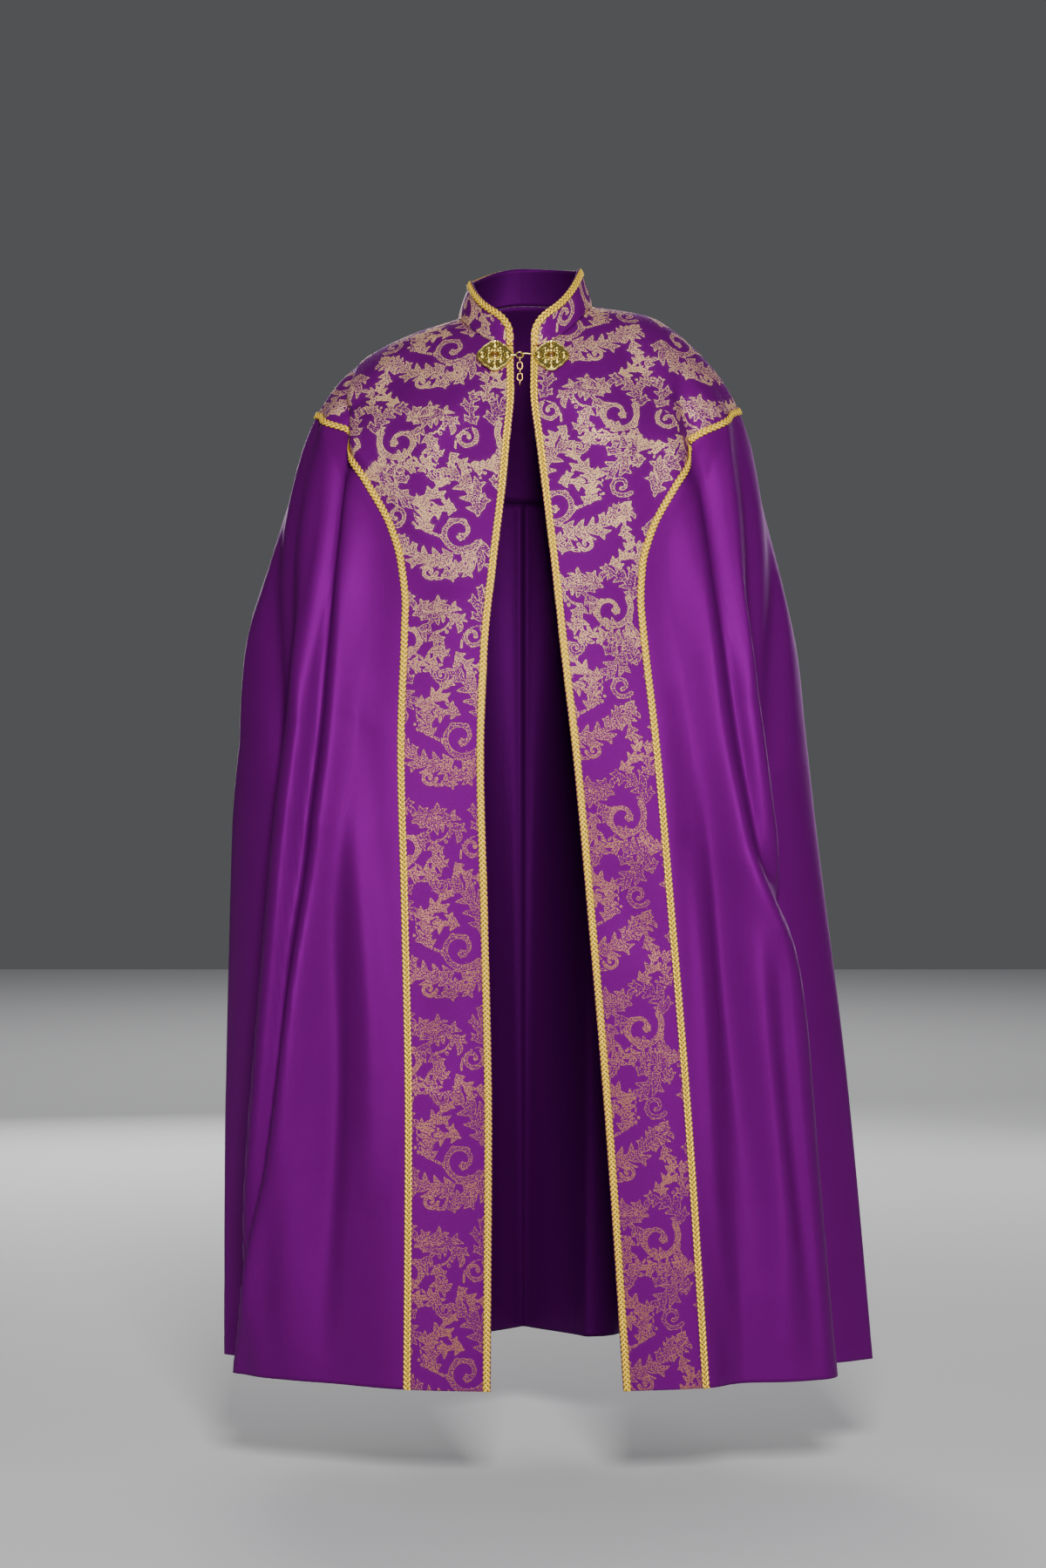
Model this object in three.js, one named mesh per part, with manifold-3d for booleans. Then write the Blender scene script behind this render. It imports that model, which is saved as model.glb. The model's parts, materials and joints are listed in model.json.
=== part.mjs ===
// A worn cope: an open-fronted ceremonial cloak with a patterned yoke, two straight front bands, a
// standing collar, looped braid, a hooked clasp and a short chain.
//
// Millimetres, +Z up. The front faces -Y and the wearer's left is +X. The origin is at the centre of
// the neckline, at the height where the cloak lies on the neck and shoulders.
//
// The cloth is one surface. A level v runs from the neckline, 0, to the hem, 1. At each level a half
// ring runs from the front edge, round the side, to the centre of the back, and s is the distance in
// millimetres along it. Folds are pushed out of the rings or into them.

import * as THREE from "three";
import { mergeVertices } from "three/addons/utils/BufferGeometryUtils.js";
import Module from "manifold-3d";

const wasm = await Module();
wasm.setup();

// A table's rows as records: the first row names the columns.
const table = (columns, ...rows) => rows
  .map((row) => Object.fromEntries(columns.map((column, i) => [column, row[i]])));

// Cloth and trim
const WALL = 2;
const SEAM_GAP = 0.3;
const LIE_GAP = 0.35;
const BRAID_WIDTH = 10;
const BRAID_THICK = 1.3;
const COLLAR_WALL = 2.4;

// Levels down the cloak. "high" is the height and "deep" the place in Y of the front edge, the widest
// point of the side and the centre back. "edge" is how far the front edge lies from the middle and
// "wide" how far the side does, for the wearer's right and left. "square" is the exponent of the
// superellipse that the ring follows: 2 is round and more is flatter in front and behind.
const LEVELS = table(
  ["name", "v", "highFront", "highRight", "highLeft", "highBack", "deepFront", "deepSide",
    "deepBack", "edgeRight", "edgeLeft", "wideRight", "wideLeft", "square"],
  ["neckline", 0, -11, 34, 50, 62, -76, 6, 88, 12, 10, 84, 90, 2],
  ["collarbone", 0.05, -72, 12, 38, 14, -106, 8, 124, 11, 9, 150, 161, 2.05],
  ["shoulder point", 0.1, -142, -24, -8, -54, -131, 6, 147, 17, 17, 213, 226, 2.15],
  ["upper arm", 0.15, -210, -76, -68, -128, -152, 0, 161, 23, 25, 256, 270, 2.3],
  ["armpit", 0.2, -277, -138, -136, -200, -169, -6, 169, 31, 33, 284, 295, 2.4],
  ["rib", 0.3, -409, -276, -276, -335, -199, -14, 177, 44, 47, 322, 325, 2.45],
  ["elbow", 0.4, -540, -424, -424, -470, -215, -14, 184, 48, 62, 346, 348, 2.45],
  ["hip", 0.55, -736, -646, -646, -680, -222, -4, 196, 43, 80, 363, 369, 2.45],
  ["knee", 0.75, -998, -946, -946, -965, -226, 6, 211, 38, 102, 364, 397, 2.45],
  ["hem", 1, -1322, -1318, -1318, -1318, -230, 16, 226, 40, 124, 359, 419, 2.45],
);

// The seam between the patterned cloth and the plain body: how far it runs from the front edge.
// Above the yoke's lower edge it is only a line of the mesh.
const YOKE_EDGE = 0.165;
const SEAM_LINE = table(
  ["name", "v", "fromRight", "fromLeft"],
  ["neckline", 0, 62, 62],
  ["collarbone", 0.05, 110, 108],
  ["shoulder point", 0.1, 160, 150],
  ["yoke corner", YOKE_EDGE, 222, 204],
  ["upper curve", 0.19, 174, 163],
  ["middle curve", 0.213, 138, 131],
  ["lower curve", 0.24, 118, 113],
  ["band top", 0.28, 106, 105],
  ["band", 0.34, 104, 104],
  ["hem", 1, 104, 104],
);

// The yoke's lower edge falls towards the centre back, as a share of the drop to the hem.
const YOKE_BACK_DROP = 0.03;

// Folds. "place" is where a ridge or hollow lies between the seam, 0, the side, 1, and the centre
// back, 2, and "out" how far it stands out of the ring in millimetres, at the yoke, the waist and
// the hem. The cloth swings evenly from each row to the next.
const FOLD_TOP = 0.05;
const FOLD_WAIST = 0.42;
const FOLD_COLUMNS = ["name", "placeYoke", "placeWaist", "placeHem", "outYoke", "outWaist", "outHem"];
const RIGHT_FOLDS = table(
  FOLD_COLUMNS,
  ["seam", 0, 0, 0, -6, 0, 0],
  ["front hollow", 0.1, 0.2, 0.26, -8, -4, -7],
  ["front fold", 0.36, 0.44, 0.7, 0, 14, 27],
  ["armpit hollow", 0.6, 0.64, 0.86, -3, -20, -46],
  ["arm ridge", 0.8, 0.94, 1.03, 2, 10, 33],
  ["side hollow", 1.05, 1.13, 1.2, -3, -20, -54],
  ["back fold one", 1.2, 1.28, 1.36, 2, 20, 46],
  ["back hollow one", 1.36, 1.43, 1.52, -3, -22, -58],
  ["back fold two", 1.52, 1.59, 1.67, 2, 18, 44],
  ["back hollow two", 1.7, 1.76, 1.83, -3, -18, -48],
  ["centre back fold", 2, 2, 2, 2, 14, 40],
);
const LEFT_FOLDS = table(
  FOLD_COLUMNS,
  ["seam", 0, 0, 0, -6, 0, 2],
  ["front hollow", 0.1, 0.16, 0.17, -8, -6, -13],
  ["front fold", 0.36, 0.42, 0.5, 0, 16, 30],
  ["armpit hollow", 0.6, 0.62, 0.72, -3, -26, -44],
  ["arm ridge", 0.8, 0.94, 0.94, 2, 8, 36],
  ["side hollow", 1.05, 1.14, 1.16, -3, -18, -56],
  ["back fold one", 1.2, 1.3, 1.33, 2, 18, 48],
  ["back hollow one", 1.36, 1.46, 1.5, -3, -20, -56],
  ["back fold two", 1.52, 1.61, 1.66, 2, 18, 42],
  ["back hollow two", 1.7, 1.78, 1.83, -3, -16, -50],
  ["centre back fold", 2, 2, 2, 2, 14, 40],
);
const FOLD_BULGE = 0.11;

// Collar, by distance from its front end: its height before the front corner is rounded, and how
// far its top leans in towards the neck
const COLLAR = table(
  ["name", "s", "high", "lean"],
  ["front end", 0, 31, 0],
  ["throat", 28, 44, 3],
  ["side", 118, 49, 17],
  ["centre back", 250, 48, 10],
);
const COLLAR_ROUND = 17;

// Clasp and chain
const PLATE_WIDE = 48;
const PLATE_HIGH = 49;
const PLATE_THICK = 2.2;
const PLATE_POINT = 9;
const BOSS_RADIUS = 7;
const SMALL_BOSS_RADIUS = 4;
const BOSS_HIGH = 3.4;
const PLATE_FROM_EDGE = 24;
const PLATE_LEVEL = 0.0165;
const EYE_X = -4;
const EYE_RADIUS = 4.6;
const WIRE_RADIUS = 0.95;
const LINK_LONG = 11;
const LINK_WIDE = 8.2;
const LINK_WIRE = 0.85;
const LINK_COUNT = 5;

// Mesh density: rows down the cloak and columns between the key lines
const YOKE_ROWS = 6;
const BODY_LEVELS = [0.19, 0.213, 0.24, 0.28, 0.33, 0.385, 0.44, 0.5, 0.565, 0.635, 0.71, 0.79, 0.89, 1];
const BAND_COLUMNS = 3;
const FRONT_COLUMNS = 14;
const BACK_COLUMNS = 22;
const RING_STEPS = 120;

// A smooth curve through one column of a table, without overshoot.
function tableCurve(rows, key, column) {
  const x = rows.map((row) => row[key]);
  const y = rows.map((row) => row[column]);
  const last = rows.length - 1;
  const rise = x.slice(1).map((value, i) => (y[i + 1] - y[i]) / (value - x[i]));
  const slope = x.map((_, i) => {
    if (i === 0) return rise[0];
    if (i === last) return rise[last - 1];
    const both = rise[i - 1] * rise[i];
    return both > 0 ? (2 * both) / (rise[i - 1] + rise[i]) : 0;
  });
  return (t) => {
    let i = 0;
    while (i < last - 1 && t > x[i + 1]) i += 1;
    const span = x[i + 1] - x[i];
    const p = THREE.MathUtils.clamp((t - x[i]) / span, 0, 1);
    const rest = 1 - p;
    return y[i] * rest * rest * (1 + 2 * p) + slope[i] * span * p * rest * rest
      + y[i + 1] * p * p * (3 - 2 * p) - slope[i + 1] * span * p * p * rest;
  };
}

const smooth = (t) => t * t * (3 - 2 * t);

const sideOf = (word, sign, folds) => (
  { sign, folds, high: `high${word}`, edge: `edge${word}`, wide: `wide${word}`, seam: `from${word}` });
const SIDES = { right: sideOf("Right", -1, RIGHT_FOLDS), left: sideOf("Left", 1, LEFT_FOLDS) };

const levelCurve = {};
for (const column of Object.keys(LEVELS[0]).filter((key) => key !== "name" && key !== "v")) {
  levelCurve[column] = tableCurve(LEVELS, "v", column);
}
const collarHigh = tableCurve(COLLAR, "s", "high");
const collarLean = tableCurve(COLLAR, "s", "lean");

for (const side of Object.values(SIDES)) {
  side.rings = new Map();
  side.seamFrom = tableCurve(SEAM_LINE, "v", side.seam);
  side.foldCurves = side.folds.map((fold) => ({
    place: tableCurve([
      { v: YOKE_EDGE, place: fold.placeYoke },
      { v: FOLD_WAIST, place: fold.placeWaist },
      { v: 1, place: fold.placeHem },
    ], "v", "place"),
    out: tableCurve([
      { v: FOLD_TOP, out: 0 },
      { v: YOKE_EDGE, out: fold.outYoke },
      { v: FOLD_WAIST, out: fold.outWaist },
      { v: 1, out: fold.outHem },
    ], "v", "out"),
  }));
}

// The half ring at one level: points in plan with their distance from the front edge.
function halfRing(side, v) {
  if (side.rings.has(v)) return side.rings.get(v);
  const wide = levelCurve[side.wide](v);
  const edge = levelCurve[side.edge](v);
  const front = levelCurve.deepFront(v);
  const middle = levelCurve.deepSide(v);
  const back = levelCurve.deepBack(v);
  const power = levelCurve.square(v);
  const reach = (angle) => (
    (Math.abs(Math.sin(angle)) ** power + Math.abs(Math.cos(angle)) ** power) ** (-1 / power));
  let low = 0;
  let start = Math.PI / 4;
  for (let k = 0; k < 40; k += 1) {
    const half = (low + start) / 2;
    if (wide * reach(half) * Math.sin(half) < edge) low = half;
    else start = half;
  }
  const points = [];
  for (let k = 0; k <= 2 * RING_STEPS; k += 1) {
    const inFront = k <= RING_STEPS;
    const angle = inFront
      ? start + ((Math.PI / 2 - start) * k) / RING_STEPS
      : (Math.PI / 2) * (k / RING_STEPS);
    const depth = inFront ? middle - front : back - middle;
    points.push(new THREE.Vector2(
      wide * reach(angle) * Math.sin(angle),
      middle - depth * reach(angle) * Math.cos(angle),
    ));
  }
  const along = [0];
  for (let k = 1; k < points.length; k += 1) {
    along.push(along[k - 1] + points[k].distanceTo(points[k - 1]));
  }
  const ring = { points, along, side: along[RING_STEPS], long: along[2 * RING_STEPS] };
  side.rings.set(v, ring);
  return ring;
}

function ringPoint(ring, s) {
  let low = 0;
  let high = ring.along.length - 1;
  while (high - low > 1) {
    const half = (low + high) >> 1;
    if (ring.along[half] <= s) low = half;
    else high = half;
  }
  const part = (s - ring.along[low]) / (ring.along[high] - ring.along[low]);
  return ring.points[low].clone().lerp(ring.points[high], part);
}

// How far the folds push the cloth out of the ring and along it.
function foldShift(side, ring, s, v) {
  const seam = side.seamFrom(v);
  const place = s < ring.side
    ? (s - seam) / (ring.side - seam)
    : 1 + (s - ring.side) / (ring.long - ring.side);
  const folds = side.foldCurves;
  let k = 0;
  while (k < folds.length - 2 && place > folds[k + 1].place(v)) k += 1;
  const start = folds[k].place(v);
  const end = folds[k + 1].place(v);
  const part = THREE.MathUtils.clamp((place - start) / (end - start), 0, 1);
  const from = folds[k].out(v);
  const to = folds[k + 1].out(v);
  const fade = THREE.MathUtils.clamp(1 + place / 0.35, 0, 1);
  const out = from + ((to - from) * (1 - Math.cos(Math.PI * part))) / 2;
  const along = FOLD_BULGE * (from - to) * Math.sin(2 * Math.PI * part);
  return { out: out * smooth(fade), along };
}

// A point of the cloth's outer face.
function clothPoint(side, s, v) {
  const ring = halfRing(side, v);
  const mirror = s > ring.long ? -1 : 1;
  const near = s > ring.long ? 2 * ring.long - s : s;
  const base = ringPoint(ring, near);
  const step = 12;
  const tangent = ringPoint(ring, Math.min(near + step, ring.long))
    .sub(ringPoint(ring, Math.max(near - step, 0))).normalize();
  if (near > ring.long - step) {
    const part = (ring.long - near) / step;
    tangent.lerp(new THREE.Vector2(-1, 0), 1 - part).normalize();
  }
  const shift = foldShift(side, ring, near, v);
  const x = base.x + shift.out * tangent.y + shift.along * tangent.x;
  const y = base.y - shift.out * tangent.x + shift.along * tangent.y;
  const high = near < ring.side
    ? THREE.MathUtils.lerp(levelCurve.highFront(v), levelCurve[side.high](v), smooth(near / ring.side))
    : THREE.MathUtils.lerp(levelCurve[side.high](v), levelCurve.highBack(v),
      smooth((near - ring.side) / (ring.long - ring.side)));
  return new THREE.Vector3(side.sign * mirror * x, y, high);
}

function clothNormal(side, s, v) {
  const stepS = 3;
  const stepV = 0.003;
  const across = clothPoint(side, s + stepS, v).sub(clothPoint(side, s - stepS, v));
  const lower = clothPoint(side, s, Math.min(v + stepV, 1));
  const down = lower.sub(clothPoint(side, s, Math.max(v - stepV, 0)));
  return across.cross(down).multiplyScalar(-side.sign).normalize();
}

// Rows and columns of the mesh. Two rows lie half a braid's width from the yoke's lower edge, and
// columns lie the same way beside the seam, so that the braid is made from the same points.
const MM_PER_LEVEL = 1300;
const HALF_BRAID = BRAID_WIDTH / 2;
const EDGE_STEP = HALF_BRAID / MM_PER_LEVEL;
const ROWS = [];
for (let r = 0; r < YOKE_ROWS; r += 1) ROWS.push(((YOKE_EDGE - EDGE_STEP) * r) / (YOKE_ROWS - 1));
ROWS.push(YOKE_EDGE, YOKE_EDGE + EDGE_STEP, ...BODY_LEVELS);
const YOKE_ROW = YOKE_ROWS;
const LAST_ROW = ROWS.length - 1;

const COLUMNS = [{ zone: "edge", part: 0 }, { zone: "edge", part: 1 }];
for (let k = 1; k <= BAND_COLUMNS; k += 1) COLUMNS.push({ zone: "band", part: k / BAND_COLUMNS });
COLUMNS.push({ zone: "seam", part: 0 }, { zone: "seam", part: 1 });
for (let k = 1; k <= FRONT_COLUMNS; k += 1) COLUMNS.push({ zone: "front", part: k / FRONT_COLUMNS });
for (let k = 1; k <= BACK_COLUMNS; k += 1) COLUMNS.push({ zone: "back", part: k / BACK_COLUMNS });
const SEAM_COLUMN = 2 + BAND_COLUMNS;
const SIDE_COLUMN = SEAM_COLUMN + 1 + FRONT_COLUMNS;
const BACK_COLUMN = COLUMNS.length - 1;

// The level of a row, which follows the yoke's lower edge as it falls towards the centre back.
function rowLevel(row, column) {
  const toBack = Math.max(0, column - SIDE_COLUMN) / (BACK_COLUMN - SIDE_COLUMN);
  const yoke = YOKE_EDGE + YOKE_BACK_DROP * smooth(toBack);
  const v = ROWS[row];
  return v <= YOKE_EDGE ? (v * yoke) / YOKE_EDGE : 1 - ((1 - v) * (1 - yoke)) / (1 - YOKE_EDGE);
}

// How much longer a step along the ring is than one square to the seam, where the seam slants.
function seamStretch(side, v) {
  if (v < YOKE_EDGE - EDGE_STEP / 2) return 1;
  const step = 0.002;
  return Math.hypot(1, (side.seamFrom(v + step) - side.seamFrom(v)) / (step * MM_PER_LEVEL));
}

// The distance of a column from the front edge.
function columnPlace(side, column, v) {
  const ring = halfRing(side, v);
  const seam = side.seamFrom(v);
  const half = HALF_BRAID * seamStretch(side, v);
  const { zone, part } = COLUMNS[column];
  const ends = {
    edge: [0, BRAID_WIDTH],
    band: [BRAID_WIDTH, seam - half],
    seam: [seam, seam + half],
    front: [seam + half, ring.side],
    back: [ring.side, ring.long],
  }[zone];
  return THREE.MathUtils.lerp(ends[0], ends[1], part);
}

// One point of the mesh, "out" millimetres outside the cloth's outer face. "trim" moves seam lines
// back so that neighbouring pieces stay apart.
function meshPoint(side, column, row, out, trim = {}) {
  const v = rowLevel(row, column) + (trim.rows?.[row] ?? 0) / MM_PER_LEVEL;
  const s = columnPlace(side, column, v) + (trim.columns?.[column] ?? 0) * seamStretch(side, v);
  const point = clothPoint(side, s, v).addScaledVector(clothNormal(side, s, v), out);
  if (column === BACK_COLUMN) point.x = side.sign * (trim.middle ?? 0);
  return point;
}

function block(fromColumn, toColumn, fromRow, toRow) {
  const cells = [];
  for (let column = fromColumn; column < toColumn; column += 1) {
    for (let row = fromRow; row < toRow; row += 1) cells.push([column, row]);
  }
  return cells;
}

// A closed wall over quads. Each patch has cells, and a point function for the outer and the inner
// face. Points with the same key are shared, so that patches of the two sides can join.
function wallGeometry(patches) {
  const positions = [];
  const index = new Map();
  const faces = [];
  const edges = new Map();
  const vertex = (key, make) => {
    if (!index.has(key)) {
      index.set(key, positions.length / 6);
      const { outer, inner } = make();
      positions.push(...outer.toArray(), ...inner.toArray());
    }
    return index.get(key);
  };
  for (const patch of patches) {
    for (const [column, row] of patch.cells) {
      const at = (c, r) => vertex(patch.key(c, r), () => patch.point(c, r));
      const quad = [at(column, row), at(column, row + 1), at(column + 1, row + 1), at(column + 1, row)];
      if (patch.flip) quad.reverse();
      faces.push([quad[0], quad[1], quad[2]], [quad[0], quad[2], quad[3]]);
    }
  }
  const indices = [];
  for (const [a, b, c] of faces) {
    indices.push(2 * a, 2 * b, 2 * c, 2 * a + 1, 2 * c + 1, 2 * b + 1);
    for (const [from, to] of [[a, b], [b, c], [c, a]]) edges.set(`${from},${to}`, [from, to]);
  }
  for (const [from, to] of edges.values()) {
    if (edges.has(`${to},${from}`)) continue;
    indices.push(2 * to, 2 * from, 2 * from + 1, 2 * to, 2 * from + 1, 2 * to + 1);
  }
  const geometry = new THREE.BufferGeometry();
  geometry.setAttribute("position", new THREE.Float32BufferAttribute(positions, 3));
  geometry.setIndex(indices);
  geometry.computeVertexNormals();
  return geometry;
}

// A patch of the cloak's mesh between two offsets from the cloth's outer face.
function clothPatch(sideName, cells, outerOut, innerOut, trim) {
  const side = SIDES[sideName];
  return {
    cells,
    flip: side.sign < 0,
    key: (column, row) => (column === BACK_COLUMN ? `back,${row}` : `${sideName},${column},${row}`),
    point: (column, row) => ({
      outer: meshPoint(side, column, row, outerOut, trim),
      inner: meshPoint(side, column, row, innerOut, trim),
    }),
  };
}

const BROCADE = { color: 0x6d5a72, roughness: 0.5, metalness: 0.25 };
const PURPLE = { color: 0x3c2160, roughness: 0.6, metalness: 0 };
const BRAID = { color: 0xb08f52, roughness: 0.45, metalness: 0.5 };
const GOLD = { color: 0xcaa45a, roughness: 0.3, metalness: 0.9 };
const CHAIN_GOLD = { color: 0xb9802f, roughness: 0.35, metalness: 0.9 };

function namedMesh(name, geometry, finish) {
  const mesh = new THREE.Mesh(geometry, new THREE.MeshStandardMaterial(finish));
  mesh.name = name;
  return mesh;
}

const halfGap = SEAM_GAP / 2;

// Yoke front and straight band in one piece, from the shoulder seam to the hem
function yokeBand(sideName) {
  const cells = [...block(0, SIDE_COLUMN, 0, YOKE_ROW), ...block(0, SEAM_COLUMN, YOKE_ROW, LAST_ROW)];
  const trim = {
    columns: { [SEAM_COLUMN]: -halfGap, [SIDE_COLUMN]: -halfGap },
    rows: { [YOKE_ROW]: -halfGap },
  };
  const patch = clothPatch(sideName, cells, 0, -WALL, trim);
  return namedMesh(`yoke_band_${sideName}`, wallGeometry([patch]), BROCADE);
}

// Back yoke, from shoulder seam to shoulder seam
function yokeBack() {
  const trim = { columns: { [SIDE_COLUMN]: halfGap }, rows: { [YOKE_ROW]: -halfGap } };
  const cells = block(SIDE_COLUMN, BACK_COLUMN, 0, YOKE_ROW);
  const patches = Object.keys(SIDES).map((sideName) => clothPatch(sideName, cells, 0, -WALL, trim));
  return namedMesh("yoke_back", wallGeometry(patches), BROCADE);
}

// Plain body, from the band and yoke seam to the centre back seam
function body(sideName) {
  const trim = {
    columns: { [SEAM_COLUMN]: halfGap },
    rows: { [YOKE_ROW]: halfGap },
    middle: halfGap,
  };
  const cells = block(SEAM_COLUMN, BACK_COLUMN, YOKE_ROW, LAST_ROW);
  const patch = clothPatch(sideName, cells, 0, -WALL, trim);
  return namedMesh(`body_${sideName}`, wallGeometry([patch]), PURPLE);
}

const braidOuter = LIE_GAP + BRAID_THICK;

function edgeBraid(sideName) {
  const trim = { rows: { 0: BRAID_THICK } };
  const patch = clothPatch(sideName, block(0, 1, 0, LAST_ROW), braidOuter, LIE_GAP, trim);
  return namedMesh(`braid_edge_${sideName}`, wallGeometry([patch]), BRAID);
}

// The braid over the seam, up the band, round the yoke's corner and on to the centre back
function seamBraid(sideName) {
  const cells = [
    ...block(SEAM_COLUMN - 1, BACK_COLUMN, YOKE_ROW - 1, YOKE_ROW + 1),
    ...block(SEAM_COLUMN - 1, SEAM_COLUMN + 1, YOKE_ROW + 1, LAST_ROW),
  ];
  const patch = clothPatch(sideName, cells, braidOuter, LIE_GAP, { middle: halfGap });
  return namedMesh(`braid_yoke_${sideName}`, wallGeometry([patch]), BRAID);
}

// Collar: columns go from the right front end round the back to the left front end.
const COLLAR_STEP = 2;
const COLLAR_PLACES = COLUMNS.map((_, column) => column)
  .filter((column) => column <= SEAM_COLUMN || (column - SEAM_COLUMN) % COLLAR_STEP === 0)
  .filter((column) => column < BACK_COLUMN);
const COLLAR_ROWS = ["foot", "middle", "braid foot", "top"];

const collarHalf = (side) => COLLAR_PLACES.map((column) => ({ side, s: columnPlace(side, column, 0) }));
const collarColumns = [
  ...collarHalf(SIDES.right),
  { side: SIDES.right, s: halfRing(SIDES.right, 0).long },
  ...collarHalf(SIDES.left).reverse(),
];

function collarPoint(column, row, out) {
  const { side, s } = collarColumns[column];
  const ring = halfRing(side, 0);
  const corner = Math.max(0, COLLAR_ROUND - s);
  const top = collarHigh(s) - COLLAR_ROUND + Math.sqrt(Math.max(0, COLLAR_ROUND ** 2 - corner ** 2));
  const braidFoot = top - BRAID_WIDTH;
  const high = { foot: 0, middle: braidFoot / 2, "braid foot": braidFoot, top }[COLLAR_ROWS[row]];
  const foot = clothPoint(side, s, 0);
  const step = 6;
  const ahead = ringPoint(ring, Math.min(s + step, ring.long));
  const tangent = ahead.sub(ringPoint(ring, Math.max(s - step, 0))).normalize();
  if (s === ring.long) tangent.set(-1, 0);
  const outward = new THREE.Vector3(side.sign * tangent.y, -tangent.x, 0);
  const share = high / collarHigh(s);
  return foot
    .add(new THREE.Vector3(0, 0, SEAM_GAP + high))
    .addScaledVector(outward, out - collarLean(s) * share ** 1.4);
}

function collarPatch(cells, outerOut, innerOut) {
  return {
    cells,
    flip: false,
    key: (column, row) => `${column},${row}`,
    point: (column, row) => ({
      outer: collarPoint(column, row, outerOut),
      inner: collarPoint(column, row, innerOut),
    }),
  };
}

function collar() {
  const cells = block(0, collarColumns.length - 1, 0, COLLAR_ROWS.length - 1);
  return namedMesh("collar", wallGeometry([collarPatch(cells, 0, -COLLAR_WALL)]), BROCADE);
}

function collarBraid() {
  const lastColumn = collarColumns.length - 1;
  const topRow = COLLAR_ROWS.length - 2;
  const cells = [
    ...block(0, 1, 0, topRow),
    ...block(0, lastColumn, topRow, topRow + 1),
    ...block(lastColumn - 1, lastColumn, 0, topRow),
  ];
  return namedMesh("braid_collar", wallGeometry([collarPatch(cells, braidOuter, LIE_GAP)]), BRAID);
}

// Booleans join each clasp plate, its bosses and its eye or hook into one casting.
function toSolid(geometry) {
  const bare = geometry.clone();
  bare.deleteAttribute("normal");
  bare.deleteAttribute("uv");
  const merged = mergeVertices(bare, 1e-4);
  return new wasm.Manifold(new wasm.Mesh({
    numProp: 3,
    vertProperties: new Float32Array(merged.attributes.position.array),
    triVerts: new Uint32Array(merged.index.array),
  }));
}

function fromSolid(solid) {
  const mesh = solid.getMesh();
  const geometry = new THREE.BufferGeometry();
  geometry.setAttribute("position", new THREE.BufferAttribute(new Float32Array(mesh.vertProperties), 3));
  geometry.setIndex(new THREE.BufferAttribute(new Uint32Array(mesh.triVerts), 1));
  geometry.computeVertexNormals();
  return geometry;
}

const joined = (geometries) => fromSolid(geometries.map(toSolid).reduce((all, next) => all.add(next)));

// A wire along a path in the clasp's own plane.
function wire(points, radius, steps, closed = false) {
  const path = new THREE.CatmullRomCurve3(points, closed);
  const section = new THREE.Shape();
  const sides = 6;
  for (let k = 0; k <= sides; k += 1) {
    const angle = (2 * Math.PI * k) / sides;
    const method = k === 0 ? "moveTo" : "lineTo";
    section[method](radius * Math.cos(angle), radius * Math.sin(angle));
  }
  return new THREE.ExtrudeGeometry(section, { steps, extrudePath: path });
}

// The plate's outline: a lozenge whose sides swell in the middle and whose points are blunt.
function plateOutline() {
  const outline = new THREE.Shape();
  const steps = 32;
  for (let k = 0; k < steps; k += 1) {
    const angle = (2 * Math.PI * k) / steps;
    const lobe = 0.9 + 0.08 * Math.cos(4 * angle) + 0.02 * Math.cos(8 * angle);
    const method = k === 0 ? "moveTo" : "lineTo";
    outline[method]((PLATE_WIDE / 2) * lobe * Math.cos(angle), (PLATE_HIGH / 2) * lobe * Math.sin(angle));
  }
  outline.closePath();
  return outline;
}

function dome(x, y, radius, high) {
  const geometry = new THREE.SphereGeometry(radius, 12, 8);
  geometry.scale(1, 1, high / radius);
  geometry.translate(x, y, PLATE_THICK);
  return geometry;
}

// In a plate's own frame X runs to the wearer's left, Y up and Z out of the chest.
function plateParts() {
  const plate = new THREE.ExtrudeGeometry(plateOutline(), { depth: PLATE_THICK, bevelEnabled: false });
  const bosses = [dome(0, 0, BOSS_RADIUS, BOSS_HIGH)];
  const reachX = PLATE_WIDE / 2 - PLATE_POINT;
  const reachY = PLATE_HIGH / 2 - PLATE_POINT;
  for (const [x, y] of [[reachX, 0], [-reachX, 0], [0, reachY], [0, -reachY]]) {
    bosses.push(dome(x, y, SMALL_BOSS_RADIUS, BOSS_HIGH * 0.7));
  }
  return [plate, ...bosses];
}

// The clasp's frame: its two plates lie in one plane over both bands, clear of the edge braids.
function claspFrame() {
  const seats = Object.values(SIDES).map((side) => {
    const s = PLATE_FROM_EDGE;
    return { point: clothPoint(side, s, PLATE_LEVEL), normal: clothNormal(side, s, PLATE_LEVEL) };
  });
  const middle = seats[0].point.clone().lerp(seats[1].point, 0.5);
  const outward = seats[0].normal.clone().add(seats[1].normal).setX(0).normalize();
  const across = new THREE.Vector3(1, 0, 0);
  const up = outward.clone().cross(across);
  let lift = 0;
  for (const side of Object.values(SIDES)) {
    for (let s = 0; s <= 2 * PLATE_FROM_EDGE; s += 2) {
      for (let v = 0; v <= 2 * PLATE_LEVEL; v += PLATE_LEVEL / 8) {
        const lozenge = Math.abs(s / PLATE_FROM_EDGE - 1) + Math.abs(v / PLATE_LEVEL - 1);
        if (lozenge > 1) continue;
        const covered = s <= BRAID_WIDTH + 2 ? braidOuter : 0;
        const point = clothPoint(side, s, v).addScaledVector(clothNormal(side, s, v), covered);
        lift = Math.max(lift, point.sub(middle).dot(outward));
      }
    }
  }
  middle.setX(0).addScaledVector(outward, lift + SEAM_GAP + 0.1);
  return new THREE.Matrix4().makeBasis(across, up, outward).setPosition(middle);
}

const clasp = new THREE.Group();
clasp.applyMatrix4(claspFrame());
const plateX = halfRing(SIDES.right, 0).points[0].x + PLATE_FROM_EDGE;
const wireZ = PLATE_THICK / 2;

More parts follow.
